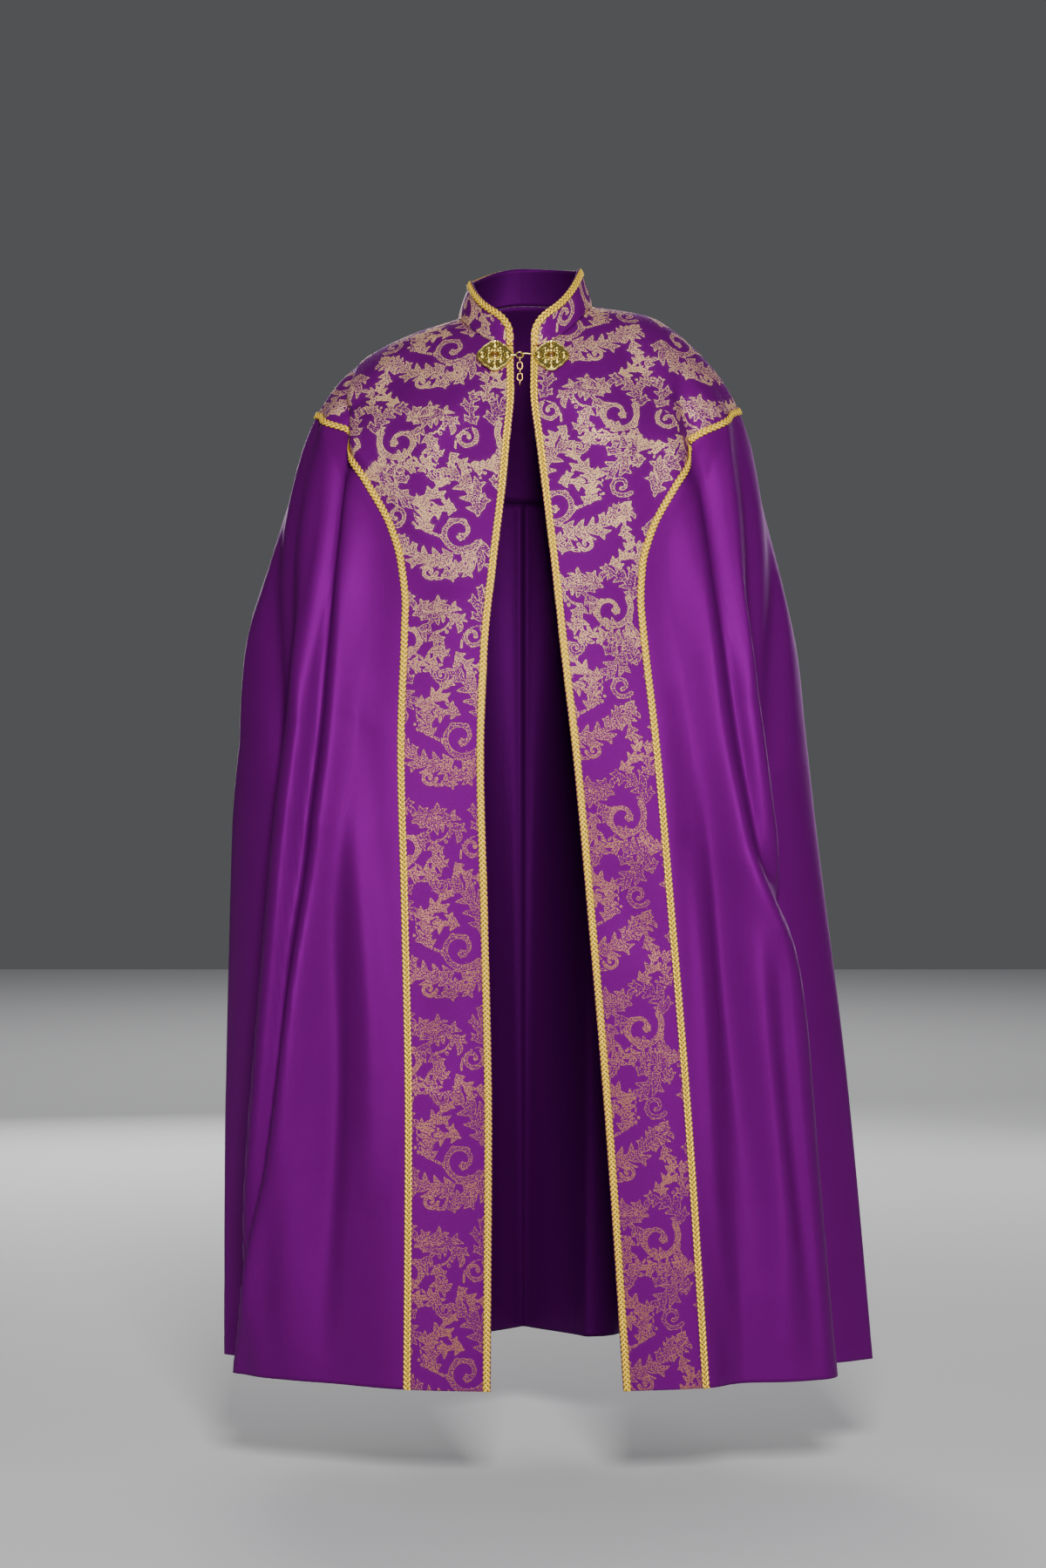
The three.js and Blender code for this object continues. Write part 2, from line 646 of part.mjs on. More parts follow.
// The wearer's right plate ends in an upright eye on a short stem, the left plate in a hook.
function eyePlate() {
  const tip = -plateX + (PLATE_WIDE / 2) * 0.97;
  const plate = plateParts().map((geometry) => geometry.translate(-plateX, 0, 0));
  const eye = new THREE.TorusGeometry(EYE_RADIUS, WIRE_RADIUS, 6, 16).translate(EYE_X, 0, wireZ);
  const stemLong = EYE_X - EYE_RADIUS - tip + 1.6;
  const stem = new THREE.BoxGeometry(stemLong, 3, 1.8);
  stem.translate(tip - 1.2 + stemLong / 2, 0, wireZ);
  return namedMesh("clasp_plate_right", joined([...plate, eye, stem]), GOLD);
}

function hookPlate() {
  const tip = plateX - (PLATE_WIDE / 2) * 0.97;
  const plate = plateParts().map((geometry) => geometry.translate(plateX, 0, 0));
  const hold = EYE_X + EYE_RADIUS - WIRE_RADIUS - WIRE_RADIUS - 0.35;
  const rise = 2 * WIRE_RADIUS + 0.5;
  const hook = wire([
    new THREE.Vector3(tip + 2.5, 0.6, wireZ + 0.2),
    new THREE.Vector3(tip - 1, 0.6, wireZ + rise * 0.7),
    new THREE.Vector3(hold + 3, 0.6, wireZ + rise + 0.4),
    new THREE.Vector3(hold + 0.3, 0.6, wireZ + rise - 0.4),
    new THREE.Vector3(hold - 0.3, 0.6, wireZ),
    new THREE.Vector3(hold + 0.3, 0.6, wireZ - rise + 0.4),
    new THREE.Vector3(hold + 3, 0.6, wireZ - rise),
  ], WIRE_RADIUS, 18);
  return namedMesh("clasp_plate_left", joined([...plate, hook]), GOLD);
}

// Chain links hang straight down from the eye, each turned a quarter from the one above.
function chain() {
  const links = [];
  const eye = new THREE.Vector3(EYE_X, -EYE_RADIUS, wireZ).applyMatrix4(claspFrame());
  const bow = LINK_LONG / 2 - LINK_WIRE;
  const pitch = 2 * bow - 2 * LINK_WIRE - SEAM_GAP;
  const straight = (LINK_LONG - LINK_WIDE) / 2;
  const turn = LINK_WIDE / 2 - LINK_WIRE;
  const first = WIRE_RADIUS + LINK_WIRE + SEAM_GAP - bow;
  for (let k = 0; k < LINK_COUNT; k += 1) {
    const points = [];
    for (let step = 0; step < 16; step += 1) {
      const angle = (2 * Math.PI * step) / 16;
      points.push(new THREE.Vector3(
        turn * Math.cos(angle),
        0,
        turn * Math.sin(angle) + straight * Math.sign(Math.round(1000 * Math.sin(angle))),
      ));
    }
    const ring = wire(points, LINK_WIRE, 20, true);
    const link = namedMesh(`chain_link_${k + 1}`, ring, CHAIN_GOLD);
    link.position.set(eye.x, eye.y, eye.z + first - k * pitch);
    link.rotation.z = k % 2 === 0 ? Math.PI / 2 : 0;
    links.push(link);
  }
  return links;
}

const group = new THREE.Group();
group.add(
  yokeBand("right"),
  yokeBand("left"),
  yokeBack(),
  body("right"),
  body("left"),
  collar(),
  edgeBraid("right"),
  edgeBraid("left"),
  seamBraid("right"),
  seamBraid("left"),
  collarBraid(),
);
clasp.add(eyePlate(), hookPlate());
group.add(clasp, ...chain());

export default group;
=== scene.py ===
"""A worn cope in satin and brocade, with looped braid, a hooked clasp and a short chain.

The frame is in metres, +Z up, with the front towards -Y. Surfaces are worked out in millimetres.
"""

import json
import math

import bpy
import numpy as np
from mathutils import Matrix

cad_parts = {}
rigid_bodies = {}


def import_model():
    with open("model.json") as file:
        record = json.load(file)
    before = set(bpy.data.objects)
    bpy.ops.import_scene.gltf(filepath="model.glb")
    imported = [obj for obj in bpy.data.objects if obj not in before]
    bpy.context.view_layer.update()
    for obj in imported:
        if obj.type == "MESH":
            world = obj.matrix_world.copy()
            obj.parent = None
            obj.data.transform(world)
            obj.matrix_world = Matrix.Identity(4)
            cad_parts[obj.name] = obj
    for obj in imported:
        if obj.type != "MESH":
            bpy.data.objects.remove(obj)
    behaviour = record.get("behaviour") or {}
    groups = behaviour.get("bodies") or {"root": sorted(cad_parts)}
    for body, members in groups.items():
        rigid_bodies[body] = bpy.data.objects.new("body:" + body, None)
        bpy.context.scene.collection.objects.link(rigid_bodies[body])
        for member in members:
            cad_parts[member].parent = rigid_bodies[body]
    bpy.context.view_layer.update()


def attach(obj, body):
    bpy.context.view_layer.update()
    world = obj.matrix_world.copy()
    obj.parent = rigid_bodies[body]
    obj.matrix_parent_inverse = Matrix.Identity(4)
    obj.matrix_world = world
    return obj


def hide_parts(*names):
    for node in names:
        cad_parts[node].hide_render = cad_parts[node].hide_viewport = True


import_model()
MM = 0.001

# Camera: level, straight in front of the cloak. The lens is FOCAL_HEIGHTS picture heights long.
CAMERA_PLACE = (0, -4.5, -0.5715)
SENSOR_HIGH = 36
FOCAL_HEIGHTS = 3968 / 1799
SIGHT_END = 60


def in_scene(name, data):
    """A new object of the scene."""
    obj = bpy.data.objects.new(name, data)
    bpy.context.scene.collection.objects.link(obj)
    return obj


camera = in_scene("camera", bpy.data.cameras.new("camera"))
bpy.context.scene.camera = camera
camera.location = CAMERA_PLACE
camera.rotation_euler = (math.pi / 2, 0, 0)
camera.data.sensor_fit = "VERTICAL"
camera.data.sensor_height = SENSOR_HIGH
camera.data.lens = SENSOR_HIGH * FOCAL_HEIGHTS
camera.data.clip_end = SIGHT_END

# Sizes of the cloak: levels, seam, folds and collar as in the frame
# "v" is the level, from 0 at the neckline to 1 at the hem, and "s" runs along a ring from the front edge.
LEVEL_COLUMNS = ("v", "highFront", "highRight", "highLeft", "highBack", "deepFront", "deepSide", "deepBack",
                 "edgeRight", "edgeLeft", "wideRight", "wideLeft", "square")
LEVELS = {
    "neckline": (0, -11, 34, 50, 62, -76, 6, 88, 12, 10, 84, 90, 2),
    "collarbone": (0.05, -72, 12, 38, 14, -106, 8, 124, 11, 9, 150, 161, 2.05),
    "shoulder point": (0.1, -142, -24, -8, -54, -131, 6, 147, 17, 17, 213, 226, 2.15),
    "upper arm": (0.15, -210, -76, -68, -128, -152, 0, 161, 23, 25, 256, 270, 2.3),
    "armpit": (0.2, -277, -138, -136, -200, -169, -6, 169, 31, 33, 284, 295, 2.4),
    "rib": (0.3, -409, -276, -276, -335, -199, -14, 177, 44, 47, 322, 325, 2.45),
    "elbow": (0.4, -540, -424, -424, -470, -215, -14, 184, 48, 62, 346, 348, 2.45),
    "hip": (0.55, -736, -646, -646, -680, -222, -4, 196, 43, 80, 363, 369, 2.45),
    "knee": (0.75, -998, -946, -946, -965, -226, 6, 211, 38, 102, 364, 397, 2.45),
    "hem": (1, -1322, -1318, -1318, -1318, -230, 16, 226, 40, 124, 359, 419, 2.45),
}
YOKE_EDGE = 0.165
YOKE_BACK_DROP = 0.03
SEAM_COLUMNS = ("v", "fromRight", "fromLeft")
SEAM_LINE = {
    "neckline": (0, 62, 62),
    "collarbone": (0.05, 110, 108),
    "shoulder point": (0.1, 160, 150),
    "yoke corner": (YOKE_EDGE, 222, 204),
    "upper curve": (0.19, 174, 163),
    "middle curve": (0.213, 138, 131),
    "lower curve": (0.24, 118, 113),
    "band top": (0.28, 106, 105),
    "band": (0.34, 104, 104),
    "hem": (1, 104, 104),
}
FOLD_TOP = 0.05
FOLD_WAIST = 0.42
FOLD_BULGE = 0.11
FOLD_FADE = 0.35
FOLD_COLUMNS = ("placeYoke", "placeWaist", "placeHem", "outYoke", "outWaist", "outHem")
RIGHT_FOLDS = {
    "seam": (0, 0, 0, -6, 0, 0),
    "front hollow": (0.1, 0.2, 0.26, -8, -4, -7),
    "front fold": (0.36, 0.44, 0.7, 0, 14, 27),
    "armpit hollow": (0.6, 0.64, 0.86, -3, -20, -46),
    "arm ridge": (0.8, 0.94, 1.03, 2, 10, 33),
    "side hollow": (1.05, 1.13, 1.2, -3, -20, -54),
    "back fold one": (1.2, 1.28, 1.36, 2, 20, 46),
    "back hollow one": (1.36, 1.43, 1.52, -3, -22, -58),
    "back fold two": (1.52, 1.59, 1.67, 2, 18, 44),
    "back hollow two": (1.7, 1.76, 1.83, -3, -18, -48),
    "centre back fold": (2, 2, 2, 2, 14, 40),
}
LEFT_FOLDS = {
    "seam": (0, 0, 0, -6, 0, 2),
    "front hollow": (0.1, 0.16, 0.17, -8, -6, -13),
    "front fold": (0.36, 0.42, 0.5, 0, 16, 30),
    "armpit hollow": (0.6, 0.62, 0.72, -3, -26, -44),
    "arm ridge": (0.8, 0.94, 0.94, 2, 8, 36),
    "side hollow": (1.05, 1.14, 1.16, -3, -18, -56),
    "back fold one": (1.2, 1.3, 1.33, 2, 18, 48),
    "back hollow one": (1.36, 1.46, 1.5, -3, -20, -56),
    "back fold two": (1.52, 1.61, 1.66, 2, 18, 42),
    "back hollow two": (1.7, 1.78, 1.83, -3, -16, -50),
    "centre back fold": (2, 2, 2, 2, 14, 40),
}
COLLAR_COLUMNS = ("s", "high", "lean")
COLLAR = {
    "front end": (0, 31, 0),
    "throat": (28, 44, 3),
    "side": (118, 49, 17),
    "centre back": (250, 48, 10),
}
COLLAR_ROUND = 17

# Smaller creases pressed or pulled into the cloth, each along a line on the surface that wanders a
# little. "wide" is the half width and "out" the height in millimetres, negative for a hollow.
CREASE_COLUMNS = ("sStart", "vStart", "sEnd", "vEnd", "wide", "out")
RIGHT_CREASES = {
    "armpit roll": (196, 0.11, 158, 0.40, 24, 5),
    "arm pull": (268, 0.15, 246, 0.42, 18, 9.1),
    "side pull one": (330, 0.2, 320, 0.5, 20, -10.2),
    "side pull two": (385, 0.19, 392, 0.46, 19, 9.6),
    "front soft ridge": (168, 0.40, 156, 0.84, 22, 6.8),
    "front shallow dip": (208, 0.5, 220, 0.98, 20, -10.2),
    "lower ridge": (252, 0.55, 268, 1.0, 18, 7.5),
    "breast pull": (60, 0.05, 120, 0.16, 20, 4.5),
    "shoulder dip": (100, 0.03, 190, 0.12, 18, -5.2),
    "band buckle": (44, 0.24, 62, 0.33, 22, 2.5),
    "band wave": (50, 0.62, 70, 0.72, 26, -3.1),
    "back crease one": (560, 0.25, 585, 0.6, 19, -10.2),
    "back crease two": (500, 0.3, 520, 0.72, 17, 8),
    "back crease three": (640, 0.22, 690, 0.5, 20, 8),
    "hem flute": (300, 0.82, 305, 1.02, 16, 7.5),
}
LEFT_CREASES = {
    "armpit roll": (184, 0.10, 146, 0.36, 23, 5),
    "arm pull": (258, 0.145, 234, 0.40, 17, 10.4),
    "side pull one": (335, 0.2, 318, 0.48, 20, -10.2),
    "side pull two": (395, 0.18, 402, 0.45, 19, 9.6),
    "front soft ridge": (138, 0.5, 146, 1.0, 16, 7.6),
    "front shallow dip": (176, 0.34, 188, 0.92, 19, -10.2),
    "front second dip": (232, 0.60, 240, 1.02, 16, -9.6),
    "lower ridge": (208, 0.52, 212, 1.02, 15, 7.5),
    "breast pull": (52, 0.045, 118, 0.15, 20, 4.5),
    "shoulder dip": (96, 0.03, 180, 0.115, 18, -6),
    "band buckle": (40, 0.26, 66, 0.34, 22, 2.5),
    "band wave": (54, 0.50, 66, 0.60, 26, -3.1),
    "back crease one": (575, 0.24, 600, 0.62, 19, -10.2),
    "back crease two": (520, 0.28, 540, 0.7, 17, 8),
    "back crease three": (655, 0.25, 700, 0.55, 20, -8),
    "hem flute": (330, 0.8, 336, 1.02, 16, -7.5),
}

# The main fold of each front, from the yoke to the hem: a rounded edge with a deep trough beside it.
# "line" is the distance of the trough from the front edge, "deep" its depth and "edge" the ridge's
# height in millimetres.
MAIN_FOLD_COLUMNS = ("v", "lineRight", "lineLeft", "deep", "edge")
MAIN_FOLD = {
    "shoulder": (0.08, 266, 200, 0, 0),
    "yoke": (0.13, 246, 199, 8, 2),
    "armpit": (0.19, 217, 207, 17, 5),
    "rib": (0.287, 209, 211, 21, 7),
    "elbow": (0.387, 214, 212, 22, 8),
    "hip": (0.515, 237, 226, 21, 9),
    "thigh": (0.643, 264, 282, 20, 9),
    "knee": (0.815, 302, 322, 19, 9),
    "hem": (1, 364, 348, 17, 9),
}
MAIN_FOLD_WIDE = {"right": 13, "left": 16}
MAIN_EDGE_OFF = 1.6
MAIN_EDGE_WIDE = 1.25

LEVEL_LONG = 1311
CREASE_WANDER = 5
CREASE_TURN = 6.3
CREASE_TAPER = 0.8

# Distances over which the surface's directions are taken, and the smoothing at the centre back
RING_REACH = 12
NORMAL_REACH = 2.5
NORMAL_LEVELS = 0.002


def table(columns, rows):
    """A table's columns as arrays, by name."""
    values = np.array(list(rows.values()), float)
    return {name: values[:, k] for k, name in enumerate(columns)}


def curve(x, y):
    """A smooth curve through points, without overshoot."""
    x = np.asarray(x, float)
    y = np.asarray(y, float)
    rise = np.diff(y) / np.diff(x)
    slope = np.empty_like(y)
    slope[0] = rise[0]
    slope[-1] = rise[-1]
    both = rise[:-1] * rise[1:]
    total = rise[:-1] + rise[1:]
    slope[1:-1] = np.where(both > 0, 2 * both / np.where(total == 0, 1, total), 0)

    def value(t):
        t = np.asarray(t, float)
        i = np.clip(np.searchsorted(x, t, side="left") - 1, 0, len(x) - 2)
        span = x[i + 1] - x[i]
        p = np.clip((t - x[i]) / span, 0, 1)
        rest = 1 - p
        return (y[i] * rest * rest * (1 + 2 * p) + slope[i] * span * p * rest * rest
                + y[i + 1] * p * p * (3 - 2 * p) - slope[i + 1] * span * p * p * rest)

    return value


def smooth(t):
    """An even step from 0 to 1 that starts and ends gently."""
    return t * t * (3 - 2 * t)


def unit(vectors):
    """Vectors of length 1."""
    return vectors / np.linalg.norm(vectors, axis=-1, keepdims=True)


def along_line(points):
    """Distance of each point along a line of points."""
    return np.concatenate([[0], np.cumsum(np.linalg.norm(np.diff(points, axis=0), axis=-1))])


def bilinear(grid, i, j, i2, j2, p, q):
    """Values between four cells of a grid, p of the way down and q of the way across."""
    return ((1 - p) * ((1 - q) * grid[i, j] + q * grid[i, j2])
            + p * ((1 - q) * grid[i2, j] + q * grid[i2, j2]))


levels = table(LEVEL_COLUMNS, LEVELS)
level_curve = {name: curve(levels["v"], levels[name]) for name in LEVEL_COLUMNS if name != "v"}
seams = table(SEAM_COLUMNS, SEAM_LINE)


class Side:
    """One half of the cloak: its rings as a table over level and share of the ring's length."""

    LEVEL_STEPS = 500
    SHARE_STEPS = 480
    QUARTER = 160
    HALVINGS = 40

    def __init__(self, name, sign, folds, creases):
        self.name = name
        self.sign = sign
        self.word = name.capitalize()
        self.seam = curve(seams["v"], seams["from" + self.word])
        self.creases = table(CREASE_COLUMNS, creases)
        main = table(MAIN_FOLD_COLUMNS, MAIN_FOLD)
        self.main_line, self.main_deep, self.main_edge = (
            curve(main["v"], main[column]) for column in ("line" + self.word, "deep", "edge"))
        rows = table(FOLD_COLUMNS, folds)
        self.folds = []
        for k in range(len(rows["placeYoke"])):
            place = curve([YOKE_EDGE, FOLD_WAIST, 1], [rows[c][k] for c in FOLD_COLUMNS[:3]])
            out = curve([FOLD_TOP, YOKE_EDGE, FOLD_WAIST, 1],
                        [0] + [rows[c][k] for c in FOLD_COLUMNS[3:]])
            self.folds.append((place, out))
        self.v = np.linspace(0, 1, self.LEVEL_STEPS + 1)
        self.x = np.empty((self.LEVEL_STEPS + 1, self.SHARE_STEPS + 1))
        self.y = np.empty_like(self.x)
        self.long = np.empty(self.LEVEL_STEPS + 1)
        self.side = np.empty(self.LEVEL_STEPS + 1)
        for k, v in enumerate(self.v):
            self.make_ring(k, v)

    def make_ring(self, k, v):
        """One ring at an even step of its length, from the front edge to the centre back."""
        wide = level_curve["wide" + self.word](v)
        edge = level_curve["edge" + self.word](v)
        front = level_curve["deepFront"](v)
        middle = level_curve["deepSide"](v)
        back = level_curve["deepBack"](v)
        power = level_curve["square"](v)

        def reach(angle):
            return (np.abs(np.sin(angle)) ** power + np.abs(np.cos(angle)) ** power) ** (-1 / power)

        # The angle at which the ring meets the front edge, by halving
        low, start = 0, math.pi / 4
        for _ in range(self.HALVINGS):
            half = (low + start) / 2
            if wide * reach(half) * math.sin(half) < edge:
                low = half
            else:
                start = half
        front_angles = np.linspace(start, math.pi / 2, self.QUARTER + 1)
        back_angles = np.linspace(math.pi / 2, math.pi, self.QUARTER + 1)[1:]
        angle = np.concatenate([front_angles, back_angles])
        depth = np.where(angle <= math.pi / 2 + 1e-9, middle - front, back - middle)
        x = wide * reach(angle) * np.sin(angle)
        y = middle - depth * reach(angle) * np.cos(angle)
        along = along_line(np.stack([x, y], -1))
        share = np.linspace(0, along[-1], self.SHARE_STEPS + 1)
        self.x[k] = np.interp(share, along, x)
        self.y[k] = np.interp(share, along, y)
        self.long[k] = along[-1]
        self.side[k] = along[self.QUARTER]

    def long_at(self, v):
        return np.interp(v, self.v, self.long)

    def side_at(self, v):
        return np.interp(v, self.v, self.side)

    def ring_point(self, s, v):
        a = np.clip(v, 0, 1) * self.LEVEL_STEPS
        b = np.clip(s / self.long_at(v), 0, 1) * self.SHARE_STEPS
        i = np.minimum(a.astype(int), self.LEVEL_STEPS - 1)
        j = np.minimum(b.astype(int), self.SHARE_STEPS - 1)
        return [bilinear(grid, i, j, i + 1, j + 1, a - i, b - j) for grid in (self.x, self.y)]

    def ring_direction(self, s, v, reach):
        """The ring's direction, which turns to point straight across at the centre back."""
        long = self.long_at(v)
        ahead = self.ring_point(np.minimum(s + reach, long), v)
        behind = self.ring_point(np.maximum(s - reach, 0), v)
        return ahead[0] - behind[0], ahead[1] - behind[1], np.clip((long - s) / reach, 0, 1)

    def fold_shift(self, s, v):
        """How far the folds push each point out, and along the ring."""
        seam, side, long = self.seam(v), self.side_at(v), self.long_at(v)
        place = np.where(s < side, (s - seam) / (side - seam), 1 + (s - side) / (long - side))
        out = np.zeros_like(s)
        along = np.zeros_like(s)
        last = len(self.folds) - 2
        for k in range(last + 1):
            start, end = self.folds[k][0](v), self.folds[k + 1][0](v)
            here = (place <= end) | (k == last)
            if k > 0:
                here &= place > start
            part = np.clip((place - start) / (end - start), 0, 1)
            out_from, out_to = self.folds[k][1](v), self.folds[k + 1][1](v)
            out = np.where(here, out_from + (out_to - out_from) * (1 - np.cos(math.pi * part)) / 2, out)
            along = np.where(here, FOLD_BULGE * (out_from - out_to) * np.sin(2 * math.pi * part), along)
        return out * smooth(np.clip(1 + place / FOLD_FADE, 0, 1)), along

    def crease_shift(self, s, v):
        """How far the smaller creases and the main fold push each point out."""
        out = np.zeros_like(s)
        for k in range(len(self.creases["wide"])):
            row = {name: values[k] for name, values in self.creases.items()}
            start = np.array([row["sStart"], row["vStart"] * LEVEL_LONG])
            end = np.array([row["sEnd"], row["vEnd"] * LEVEL_LONG])
            line = end - start
            long = np.hypot(*line)
            ds, dv = s - start[0], v * LEVEL_LONG - start[1]
            part = (ds * line[0] + dv * line[1]) / long ** 2
            off = (ds * line[1] - dv * line[0]) / long
            off = off + CREASE_WANDER * np.sin(CREASE_TURN * part + k)
            taper = np.sin(math.pi * np.clip(part, 0, 1)) ** CREASE_TAPER
            out += row["out"] * taper * np.exp(-(off / row["wide"]) ** 2)
        beside = (s - self.main_line(v)) / MAIN_FOLD_WIDE[self.name]
        out -= self.main_deep(v) * np.exp(-beside ** 2)
        out += self.main_edge(v) * np.exp(-((beside + MAIN_EDGE_OFF) / MAIN_EDGE_WIDE) ** 2)
        return out

    def point(self, s, v):
        """Points of the cloth's outer face, in millimetres."""
        s, v = np.broadcast_arrays(np.asarray(s, float), np.asarray(v, float))
        side, long = self.side_at(v), self.long_at(v)
        x, y = self.ring_point(s, v)
        tx, ty, mix = self.ring_direction(s, v, RING_REACH)
        size = np.hypot(tx, ty)
        tx, ty = tx / size, ty / size
        tx, ty = np.where(mix < 1, tx * mix - (1 - mix), tx), np.where(mix < 1, ty * mix, ty)
        size = np.hypot(tx, ty)
        tx, ty = tx / size, ty / size
        out, along = self.fold_shift(s, v)
        out = out + self.crease_shift(s, v)
        x = x + out * ty + along * tx
        y = y - out * tx + along * ty
        side_high = level_curve["high" + self.word](v)
        front_part = smooth(np.clip(s / side, 0, 1))
        back_part = smooth(np.clip((s - side) / (long - side), 0, 1))
        front_high = level_curve["highFront"](v)
        back_high = level_curve["highBack"](v)
        z = np.where(s < side, front_high + (side_high - front_high) * front_part,
                     side_high + (back_high - side_high) * back_part)
        return np.stack([self.sign * x, y, z], axis=-1)

    def normal(self, s, v):
        """Directions straight out of the cloth."""
        s, v = np.broadcast_arrays(np.asarray(s, float), np.asarray(v, float))
        long = self.long_at(v)
        across = (self.point(np.minimum(s + NORMAL_REACH, long), v)
                  - self.point(np.maximum(s - NORMAL_REACH, 0), v))
        down = (self.point(s, np.minimum(v + NORMAL_LEVELS, 1))
                - self.point(s, np.maximum(v - NORMAL_LEVELS, 0)))
        return unit(np.cross(across, down) * -self.sign)


RIGHT = Side("right", -1, RIGHT_FOLDS, RIGHT_CREASES)
LEFT = Side("left", 1, LEFT_FOLDS, LEFT_CREASES)
SIDES = (RIGHT, LEFT)


def new_object(name, points, faces, piece_body="cloak"):
    """A mesh from points in millimetres, riding its body."""
    mesh = bpy.data.meshes.new(name)
    mesh.from_pydata((np.asarray(points) * MM).tolist(), [], faces)
    mesh.update()
    mesh.polygons.foreach_set("use_smooth", [True] * len(mesh.polygons))
    obj = in_scene(name, mesh)
    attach(obj, piece_body)
    return obj


def add_attribute(obj, name, values):
    """A value for each point, or a vector where values has three columns."""
    values = np.asarray(values, np.float32)
    kind = "FLOAT_VECTOR" if values.ndim == 2 else "FLOAT"
    attribute = obj.data.attributes.new(name, kind, "POINT")
    attribute.data.foreach_set("vector" if values.ndim == 2 else "value", values.ravel())


def level_of(row_v, to_back):
    """The level of a row, which follows the yoke's lower edge as it falls towards the centre back."""
    yoke = YOKE_EDGE + YOKE_BACK_DROP * smooth(to_back)
    above = row_v * yoke / YOKE_EDGE
    below = 1 - (1 - row_v) * (1 - yoke) / (1 - YOKE_EDGE)
    return np.where(row_v <= YOKE_EDGE, above, below)


def zone_place(side, zone, part, v):
    """Distance from the front edge of a place "part" of the way across a zone: "band" goes to the
    band's seam, "front" from there to the side and "back" on to the centre back."""
    ends = {"band": (0, side.seam(v)), "front": (side.seam(v), side.side_at(v)),
            "back": (side.side_at(v), side.long_at(v))}[zone]
    return ends[0] + (ends[1] - ends[0]) * part


def lattice(side, zone, parts, rows):
    """(s, v) for a block of the lattice: rows down, parts across."""
    part, row_v = np.meshgrid(parts, rows)
    v = level_of(row_v, part if zone == "back" else np.zeros_like(part))
    return zone_place(side, zone, part, v), v


def quads_of(ids):
    """The cells of a lattice of point numbers."""
    return np.stack([ids[:-1, :-1], ids[1:, :-1], ids[1:, 1:], ids[:-1, 1:]], -1).reshape(-1, 4)


def thinned(count, step):
    """Every so many of a row of numbers, with the last one."""
    return sorted(set(range(0, count, step)) | {count - 1})


class Sheet:
    """Blocks of one cloth joined into a closed thin shell. Blocks that meet share their points."""

    LONGEST_WALK = 12

    def __init__(self):
        self.points = []
        self.normals = []
        self.s = []
        self.v = []
        self.flip = []
        self.quads = []
        self.index = {}

    def add(self, side, zone, rows, column_keys, step):
        """Adds a zone. "step" is how many rows and columns one cell of the inner face takes up."""
        s, v = lattice(side, zone, np.linspace(0, 1, len(column_keys)), rows)
        p = side.point(s, v)
        n = side.normal(s, v)
        ids = np.empty(s.shape, int)
        for i in range(len(rows)):
            for j, column_key in enumerate(column_keys):
                key = (i, column_key)
                if key not in self.index:
                    self.index[key] = len(self.points)
                    self.points.append(p[i, j])
                    self.normals.append(n[i, j])
                    self.s.append(s[i, j])
                    self.v.append(v[i, j])
                ids[i, j] = self.index[key]
        self.quads.append((ids, side.sign < 0, step))

    def dip(self, distance, deep, wide):
        """Sinks the cloth towards a seam line, where "distance" is 0."""
        sunk = deep * np.exp(-(distance / wide) ** 2)
        self.points = list(np.array(self.points) - np.array(self.normals) * sunk[:, None])

    def build(self, name, wall):
        """The closed mesh. Its outer face comes first, then the inner one's points."""
        points = np.array(self.points)
        inner = points - np.array(self.normals) * wall
        fine, coarse = [], []
        for ids, flip, step in self.quads:
            quad = quads_of(ids)
            fine.append(quad[:, ::-1] if flip else quad)
            quad = quads_of(ids[np.ix_(thinned(ids.shape[0], step[0]), thinned(ids.shape[1], step[1]))])
            coarse.append(quad if flip else quad[:, ::-1])
        fine = np.concatenate(fine)
        coarse = np.concatenate(coarse)
        edges = np.concatenate([fine[:, [k, (k + 1) % 4]] for k in range(4)])
        count = len(points)
        code = edges[:, 0].astype(np.int64) * count + edges[:, 1]
        back = edges[:, 1].astype(np.int64) * count + edges[:, 0]
        border = edges[~np.isin(code, back)]
        on_border = np.unique(border)
        used = np.unique(np.concatenate([coarse.ravel(), on_border]))
        place = np.full(count, -1)
        place[used] = np.arange(len(used)) + count
        rim = np.stack([border[:, 1], border[:, 0], place[border[:, 0]], place[border[:, 1]]], -1)
        # The wall's inner border keeps the fine points, so the inner cells along it carry them too.
        faces = fine.tolist() + rim.tolist()
        following = {b: a for a, b in border.tolist()}
        border_points = set(on_border.tolist())
        for quad in coarse.tolist():
            ring = []
            for k in range(4):
                here, there = quad[k], quad[(k + 1) % 4]
                ring.append(place[here])
                if here in border_points and there in border_points:
                    chain, walk = [], following.get(here)
                    while walk is not None and walk != there and len(chain) <= self.LONGEST_WALK:
                        chain.append(walk)
                        walk = following.get(walk)
                    if walk == there:
                        ring.extend(place[w] for w in chain)
            faces.append([int(x) for x in ring])
        self.count = count
        self.used = used
        return new_object(name, np.concatenate([points, inner[used]]), faces)

    def spread(self, values):
        """Values for the outer points, carried to the inner ones too."""
        values = np.asarray(values)
        return np.concatenate([values, values[self.used]])


